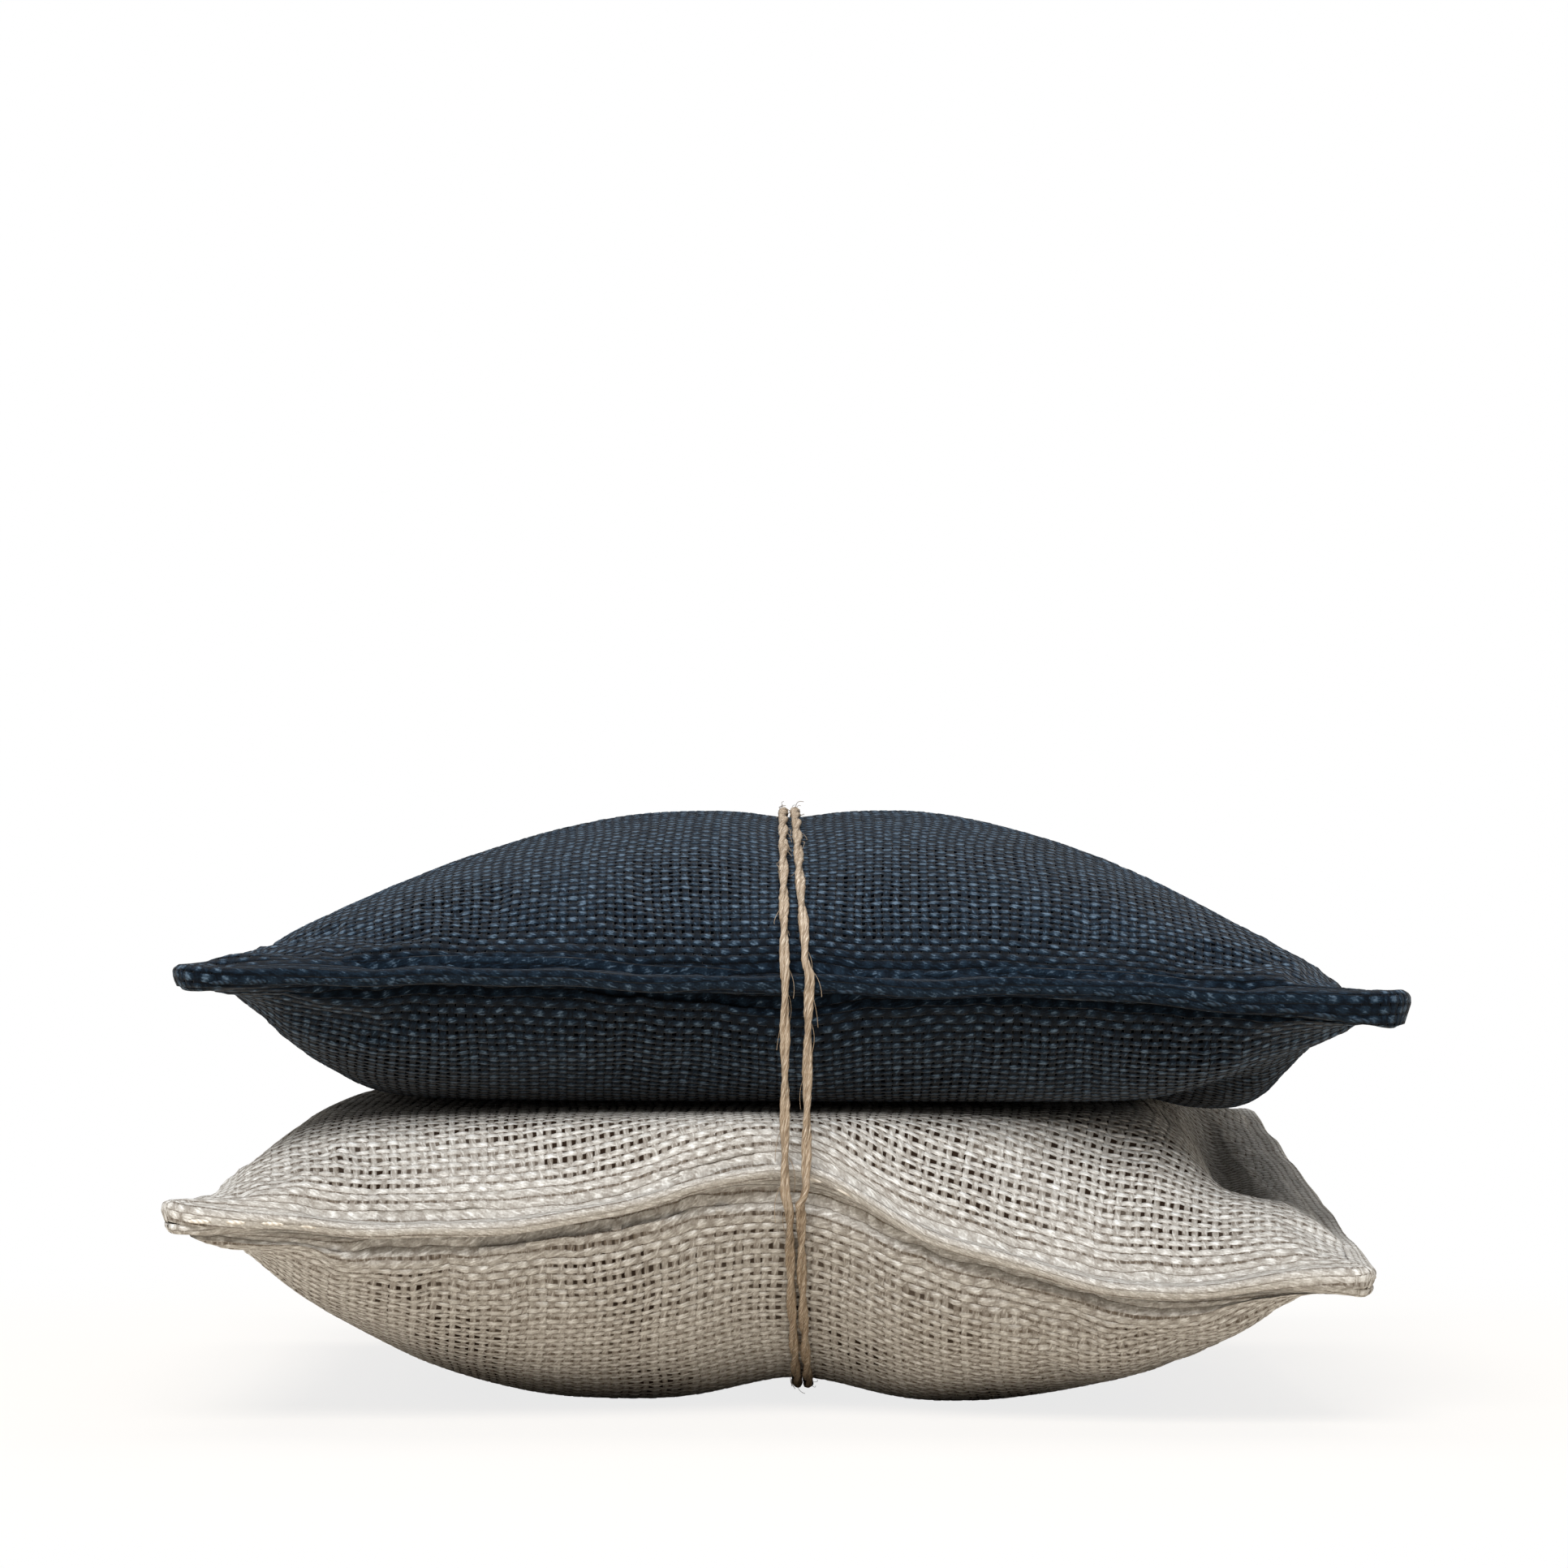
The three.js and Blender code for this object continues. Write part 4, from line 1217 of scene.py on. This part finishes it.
def loose_fibres(tree, line, given):
    bend = {"Resolution": 7}
    for part, place in zip(("Start", "Middle", "End"), HAIR_BEND):
        bend[part] = tuple(k * MM for k in place)
    curve = add(tree, "GeometryNodeCurveQuadraticBezier", bend)
    thin = add(tree, RING, {"Resolution": 3, "Radius": 1.0})
    hair = add(tree, TO_MESH, {"Curve": curve, "Profile Curve": thin, "Scale": given["Fibre"]})
    spacing = {"Curve": line, "Length": given["Fibre spacing"]}
    spots = add(tree, "GeometryNodeCurveToPoints", spacing, out=None, mode="LENGTH").outputs
    on_points = {"Points": spots["Points"], "Instance": hair, "Rotation": spots["Rotation"]}
    hairs = add(tree, "GeometryNodeInstanceOnPoints", on_points)
    lean = (HAIR_LEAN, HAIR_LEAN, 2 * math.pi)
    rolls = {0: (-HAIR_LEAN, -HAIR_LEAN, 0.0), 1: lean, "Seed": 5}
    roll = add(tree, "FunctionNodeRandomValue", rolls, data_type="FLOAT_VECTOR")
    hairs = add(tree, "GeometryNodeRotateInstances", {0: hairs, "Rotation": roll})
    shortest, longest = HAIR_LENGTH
    long = add(tree, "FunctionNodeRandomValue", {2: shortest, 3: longest, "Seed": 8}, out=1)
    return add(tree, "GeometryNodeScaleInstances", {0: hairs, "Scale": long})


def laid_twine():
    sizes = ("Lay", "Ply offset", "Ply diameter", "Fibre", "Fibre spacing")
    tree, given = new_tree("laid_twine", sizes)
    line = add(tree, "GeometryNodeMeshToCurve", {0: given["Geometry"]})
    plies = [ply(tree, line, given, start) for start in (0.0, math.pi)]
    bunch = add(tree, "GeometryNodeJoinGeometry", out=None)
    for part in (*plies, loose_fibres(tree, line, given)):
        tree.links.new(part, bunch.inputs[0])
    return end_tree(tree, given, bunch.outputs[0])


twine_tree = laid_twine()

# %% [markdown]
# ## Flax twine as a material
#
# Flax fibres are long and pale, with a soft gloss, and lie slantwise in a ply. The tree above keeps
# two things for the material: how far along the twine a point is, and where it lies round its ply.
# Rolling the second by the first lays a noise along the twist.

# %% Flax, and the twine
FLAX_TWIST = 6.0  # mm in which the fibres go once round a ply
FLAX_ACROSS = 4.16  # streaks across the radius of a ply
FLAX_RUN = 1 / 0.96  # mm along a streak
TWINE_SIZES = dict(
    lay=13.0 * MM, ply_offset=0.17 * MM, ply_diameter=0.54 * MM, fibre=0.03 * MM, fibre_spacing=2.2 * MM)


def twine_material():
    """Flax twine: long fibres lying slantwise in each ply, seen as pale and brown streaks, partly the
    flax's own tone and partly painted shade between the fibres and painted highlight on them.
    """
    material, tree = new_material("flax_twine_two_ply")
    around = add(tree, ATTRIBUTE, out="Vector", attribute_name="around")
    run = add(tree, ATTRIBUTE, out="Fac", attribute_name="run")
    turned = add(tree, MATH, {0: run, 1: -2 * math.pi / (FLAX_TWIST * MM)}, operation="MULTIPLY")
    roll = {"Vector": around, "Angle": turned}
    rolled = add(tree, "ShaderNodeVectorRotate", roll, rotation_type="Z_AXIS")
    spread = add(tree, VECTOR, {0: rolled, "Scale": FLAX_ACROSS}, operation="SCALE")
    parts = add(tree, "ShaderNodeSeparateXYZ", {0: spread}, out=None).outputs
    along = add(tree, MATH, {0: run, 1: 1 / (FLAX_RUN * MM)}, operation="MULTIPLY")
    spot = add(tree, XYZ, {0: parts[0], 1: parts[1], 2: along})
    streaks = {"Vector": spot, "Scale": 1.0, "Detail": 3.0, "Roughness": 0.65}
    fibre = add(tree, NOISE, streaks, out="Fac")
    # Brown streaks are partly painted shade between the fibres, pale ones partly painted highlight on
    # them.
    body = ramp(tree, fibre, (0.3, "#574533"), (0.74, "#eae0d0"), (0.5, "#9c8870"))
    raised = add(tree, BUMP, {"Strength": 0.7, "Distance": 0.08 * MM, "Height": fibre})
    skin = add(tree, SKIN, {"Base Color": body, "Roughness": 0.55, "Normal": raised})
    add(tree, SURFACE, {0: skin}, out=None)
    return material


twine_way = polyline("twine_way", twine_path)
twine = grow("twine_two_ply", twine_way, twine_tree, twine_material(), **TWINE_SIZES)
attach(twine, "root")
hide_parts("twine")

# %% [markdown]
# ## Inside: muslin liners
#
# The buds are kept in a thin muslin pouch, sewn from two squares, so that they don't sift through
# the open linen. It follows the form of the sachet, a little further in, and ends inside the hem.

# %% Layers inside a sachet
MUSLIN = 0.25  # mm
LINER_DEPTH = 2 * LINEN + GAP  # mm inside the outer face
STEEPEST = 2.0  # slope past which a layer goes no further in


def inside(sachet, side, u, v, depth):
    """A face that lies a depth inside the outer face, measured square to it."""
    step = 0.01
    across = face(sachet, side, u + step, v) - face(sachet, side, u - step, v)
    along = face(sachet, side, u, v + step) - face(sachet, side, u, v - step)
    steep = np.hypot(across[..., 2], along[..., 2]) / (step * SIDE * DEEP)
    points = face(sachet, side, u, v)
    points[..., 2] -= side * depth * np.hypot(1, np.minimum(steep, STEEPEST))
    return points


def layer(sachet, side, reach, depth, lines):
    """One half of a pouch inside the sachet; its rim lies half way between the panels."""
    u, v = np.meshgrid(*(np.linspace(-end, end, lines) for end in reach))
    points = inside(sachet, side, u, v, depth)
    middle = (face(sachet, 1, u, v)[..., 2] + face(sachet, -1, u, v)[..., 2]) / 2
    rim = np.maximum(np.abs(u) / reach[0], np.abs(v) / reach[1]) > 0.999
    height = side * np.maximum(side * points[..., 2], side * middle)
    points[..., 2] = np.where(rim, middle, height)
    return points if side > 0 else points[:, ::-1]


print("the liner lies", round(LINER_DEPTH, 2), "mm inside the face of the linen")

# %% Muslin
LINER_REACH = (0.88, 0.92)  # share of the sachet, across and along
LINER_LINES = 81
MUSLIN_THREADS = 200  # each way, one about every 0.44 mm


def muslin_material():
    """Cotton muslin: a fine, loose, undyed plain weave, pale and matt with pinholes."""
    material, tree = new_material("cotton_muslin")
    threads = {"Half width": 0.38, "Slub": 0.1, "Weft": 0.9, "Warp": 0.9}
    cloth = add(tree, "ShaderNodeGroup", threads, out=None, node_tree=weave).outputs
    body = ramp(tree, cloth["Fibre"], (0.0, "#d9d2c4"), (1.0, "#f4f0e8"))
    shade = {0: cloth["Hole"], 6: body, 7: colour("#8d8574")}
    final = add(tree, MIX, shade, out=2, data_type="RGBA")
    raised = add(tree, BUMP, {"Strength": 0.5, "Distance": 0.1 * MM, "Height": cloth["Height"]})
    skin = add(tree, SKIN, {"Base Color": final, "Roughness": 0.9, "Normal": raised})
    add(tree, SURFACE, {0: skin}, out=None)
    return material


muslin = muslin_material()
steps = np.linspace(0, MUSLIN_THREADS, LINER_LINES)
for sachet in (NAVY, NATURAL):
    for side, word in ((1, "top"), (-1, "bottom")):
        points = layer(sachet, side, LINER_REACH, LINER_DEPTH, LINER_LINES)
        uv = np.stack(np.meshgrid(steps[::side], steps), axis=-1)
        liner = link(mesh_from_grid(f"{sachet['name']}_muslin_{word}", points, uv), muslin)
        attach(liner, "root")
        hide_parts(f"{sachet['name']}_liner_{word}")

# %% [markdown]
# ## Inside: lavender buds
#
# Dried lavender buds are ribbed grains a few millimetres long. Thousands of them fill a pouch, but
# only the outermost lie against the muslin. So they are strewn over the inner face of the liner, a
# little sunk, each turned its own way. The seed is fixed.

# %% Lavender buds
BUD_SIZES = dict(density=160000.0, bud_length=4.2 * MM, bud_width=1.9 * MM)
BUD_SUNK = 1.4  # mm below the face of the heap
BUD_TURN = 6.283  # radians, once round
BUD_PATCH = 1 / 0.7  # mm across a patch of colour
HEAP_REACH = (0.79, 0.84)
HEAP_LINES = 41


def heap_of_buds():
    tree, given = new_tree("heap_of_buds", ("Density", "Bud length", "Bud width"))
    strew = {0: given["Geometry"], "Density": given["Density"], "Seed": 7}
    spots = add(tree, "GeometryNodeDistributePointsOnFaces", strew, out=None).outputs
    bud = add(tree, "GeometryNodeMeshUVSphere", {"Segments": 6, "Rings": 5, "Radius": 0.5})
    shape = {0: given["Bud width"], 1: given["Bud width"], 2: given["Bud length"]}
    shape = add(tree, XYZ, shape)
    turns = {0: (0, 0, 0), 1: (BUD_TURN, BUD_TURN, BUD_TURN), "Seed": 8}
    spin = add(tree, "FunctionNodeRandomValue", turns, data_type="FLOAT_VECTOR")
    size = add(tree, "FunctionNodeRandomValue", {2: 0.75, 3: 1.1, "Seed": 9}, out=1)
    shape = add(tree, VECTOR, {0: shape, "Scale": size}, operation="SCALE")
    sunk = {0: spots["Normal"], "Scale": -BUD_SUNK * MM}
    sunk = add(tree, VECTOR, sunk, operation="SCALE")
    moved = add(tree, "GeometryNodeSetPosition", {0: spots[0], "Offset": sunk})
    strewn = {"Points": moved, "Instance": bud, "Rotation": spin, "Scale": shape}
    return end_tree(tree, given, add(tree, "GeometryNodeInstanceOnPoints", strewn))


def bud_material():
    """Dried lavender: grey-violet buds, each a little different and patchy."""
    material, tree = new_material("dried_lavender_buds")
    where = add(tree, "ShaderNodeTexCoord", out="Object")
    patches = {"Vector": where, "Scale": 1 / (BUD_PATCH * MM), "Detail": 3.0}
    patchy = add(tree, NOISE, patches, out="Fac")
    body = ramp(tree, patchy, (0.3, "#4f4a63"), (0.7, "#8f86a3"))
    skin = add(tree, SKIN, {"Base Color": body, "Roughness": 0.85})
    add(tree, SURFACE, {0: skin}, out=None)
    return material


lavender, heap = bud_material(), heap_of_buds()
heap_depth = LINER_DEPTH + MUSLIN + GAP
heap_quads = grid_quads(HEAP_LINES, HEAP_LINES)
heap_faces = np.concatenate([heap_quads, heap_quads + HEAP_LINES**2]).tolist()
for sachet in (NAVY, NATURAL):
    halves = [layer(sachet, side, HEAP_REACH, heap_depth, HEAP_LINES) for side in (1, -1)]
    places = np.concatenate([half.reshape(-1, 3) for half in halves]) * MM
    surface = bpy.data.meshes.new("heap_surface")
    surface.from_pydata(places.tolist(), [], heap_faces)
    buds = grow(f"{sachet['name']}_buds", surface, heap, lavender, **BUD_SIZES)
    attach(buds, "root")
    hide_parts(f"{sachet['name']}_lavender")

# %% [markdown]
# ## Light, floor and background
#
# The pair stands on a white table before a white wall. The table really is a warm off-white, so its
# light from below is warm, and the camera sees it fade to white a little way off. A large softbox
# in front and above is the main light, and a weaker one hangs over the back.

# %% Table and wall
TABLE = 3.0  # m, half its width
TABLE_FADE = (0.05, 0.16)  # m from the middle, where the table begins to look white and where it does
TABLE_GRAIN = 1 / 0.03  # mm across a patch of its colour

floor_mesh = bpy.data.meshes.new("floor")
table_corners = [(-TABLE, -TABLE, 0), (TABLE, -TABLE, 0), (TABLE, TABLE, 0), (-TABLE, TABLE, 0)]
floor_mesh.from_pydata(table_corners, [], [(0, 1, 2, 3)])
# painted board, matt: a warm off-white with a faint unevenness
floor_material, tree = new_material("white_table")
to_camera = add(tree, "ShaderNodeLightPath", out="Is Camera Ray")
where = add(tree, "ShaderNodeTexCoord", out="Object")
away = add(tree, VECTOR, {0: where}, out="Value", operation="LENGTH")
grain = add(tree, NOISE, {"Vector": where, "Scale": 1 / (TABLE_GRAIN * MM)}, out="Fac")
tones = {0: grain, 6: colour("#ded4c6"), 7: colour("#e4dbce")}
paper = add(tree, "ShaderNodeBsdfDiffuse", {"Color": add(tree, MIX, tones, out=2, data_type="RGBA")})
glow = add(tree, "ShaderNodeEmission", {"Color": (1, 1, 1, 1), "Strength": 1.0})
fade = {0: away, 1: TABLE_FADE[0], 2: TABLE_FADE[1], 3: 0.8}
fade = add(tree, RANGE, fade, interpolation_type="SMOOTHSTEP")
seen = add(tree, MATH, {0: to_camera, 1: fade}, operation="MULTIPLY")
mixed = add(tree, "ShaderNodeMixShader", {0: seen, 1: paper, 2: glow})
add(tree, SURFACE, {0: mixed}, out=None)
floor = link(floor_mesh, floor_material)

world = bpy.data.worlds.new("studio")
bpy.context.scene.world = world
world.use_nodes = True
tree = world.node_tree
tree.nodes.clear()
to_camera = add(tree, "ShaderNodeLightPath", out="Is Camera Ray")
white = add(tree, "ShaderNodeBackground", {"Color": (1, 1, 1, 1), "Strength": 1.0})
soft = add(tree, "ShaderNodeBackground", {"Color": (1.0, 0.96, 0.92, 1), "Strength": 0.26})
pick = add(tree, "ShaderNodeMixShader", {0: to_camera, 1: soft, 2: white})
add(tree, "ShaderNodeOutputWorld", {0: pick}, out=None)


# %% Softboxes
def softbox(name, place, tilt, swing, size, watts):
    """A rectangular lamp; tilt turns it from straight down to the back, swing about the upright."""
    data = bpy.data.lights.new(name, "AREA")
    data.shape = "RECTANGLE"
    data.size, data.size_y = size
    data.energy = watts
    lamp = bpy.data.objects.new(name, data)
    lamp.location = place
    lamp.rotation_euler = (math.radians(tilt), 0.0, math.radians(swing))
    bpy.context.scene.collection.objects.link(lamp)


softbox("key", place=(-0.15, -0.93, 0.97), tilt=45, swing=-8, size=(0.8, 0.6), watts=20.0)
softbox("overhead", place=(0.0, 0.3, 0.9), tilt=-16, swing=0, size=(0.9, 0.5), watts=5.0)
bpy.context.scene.view_settings.view_transform = "Standard"
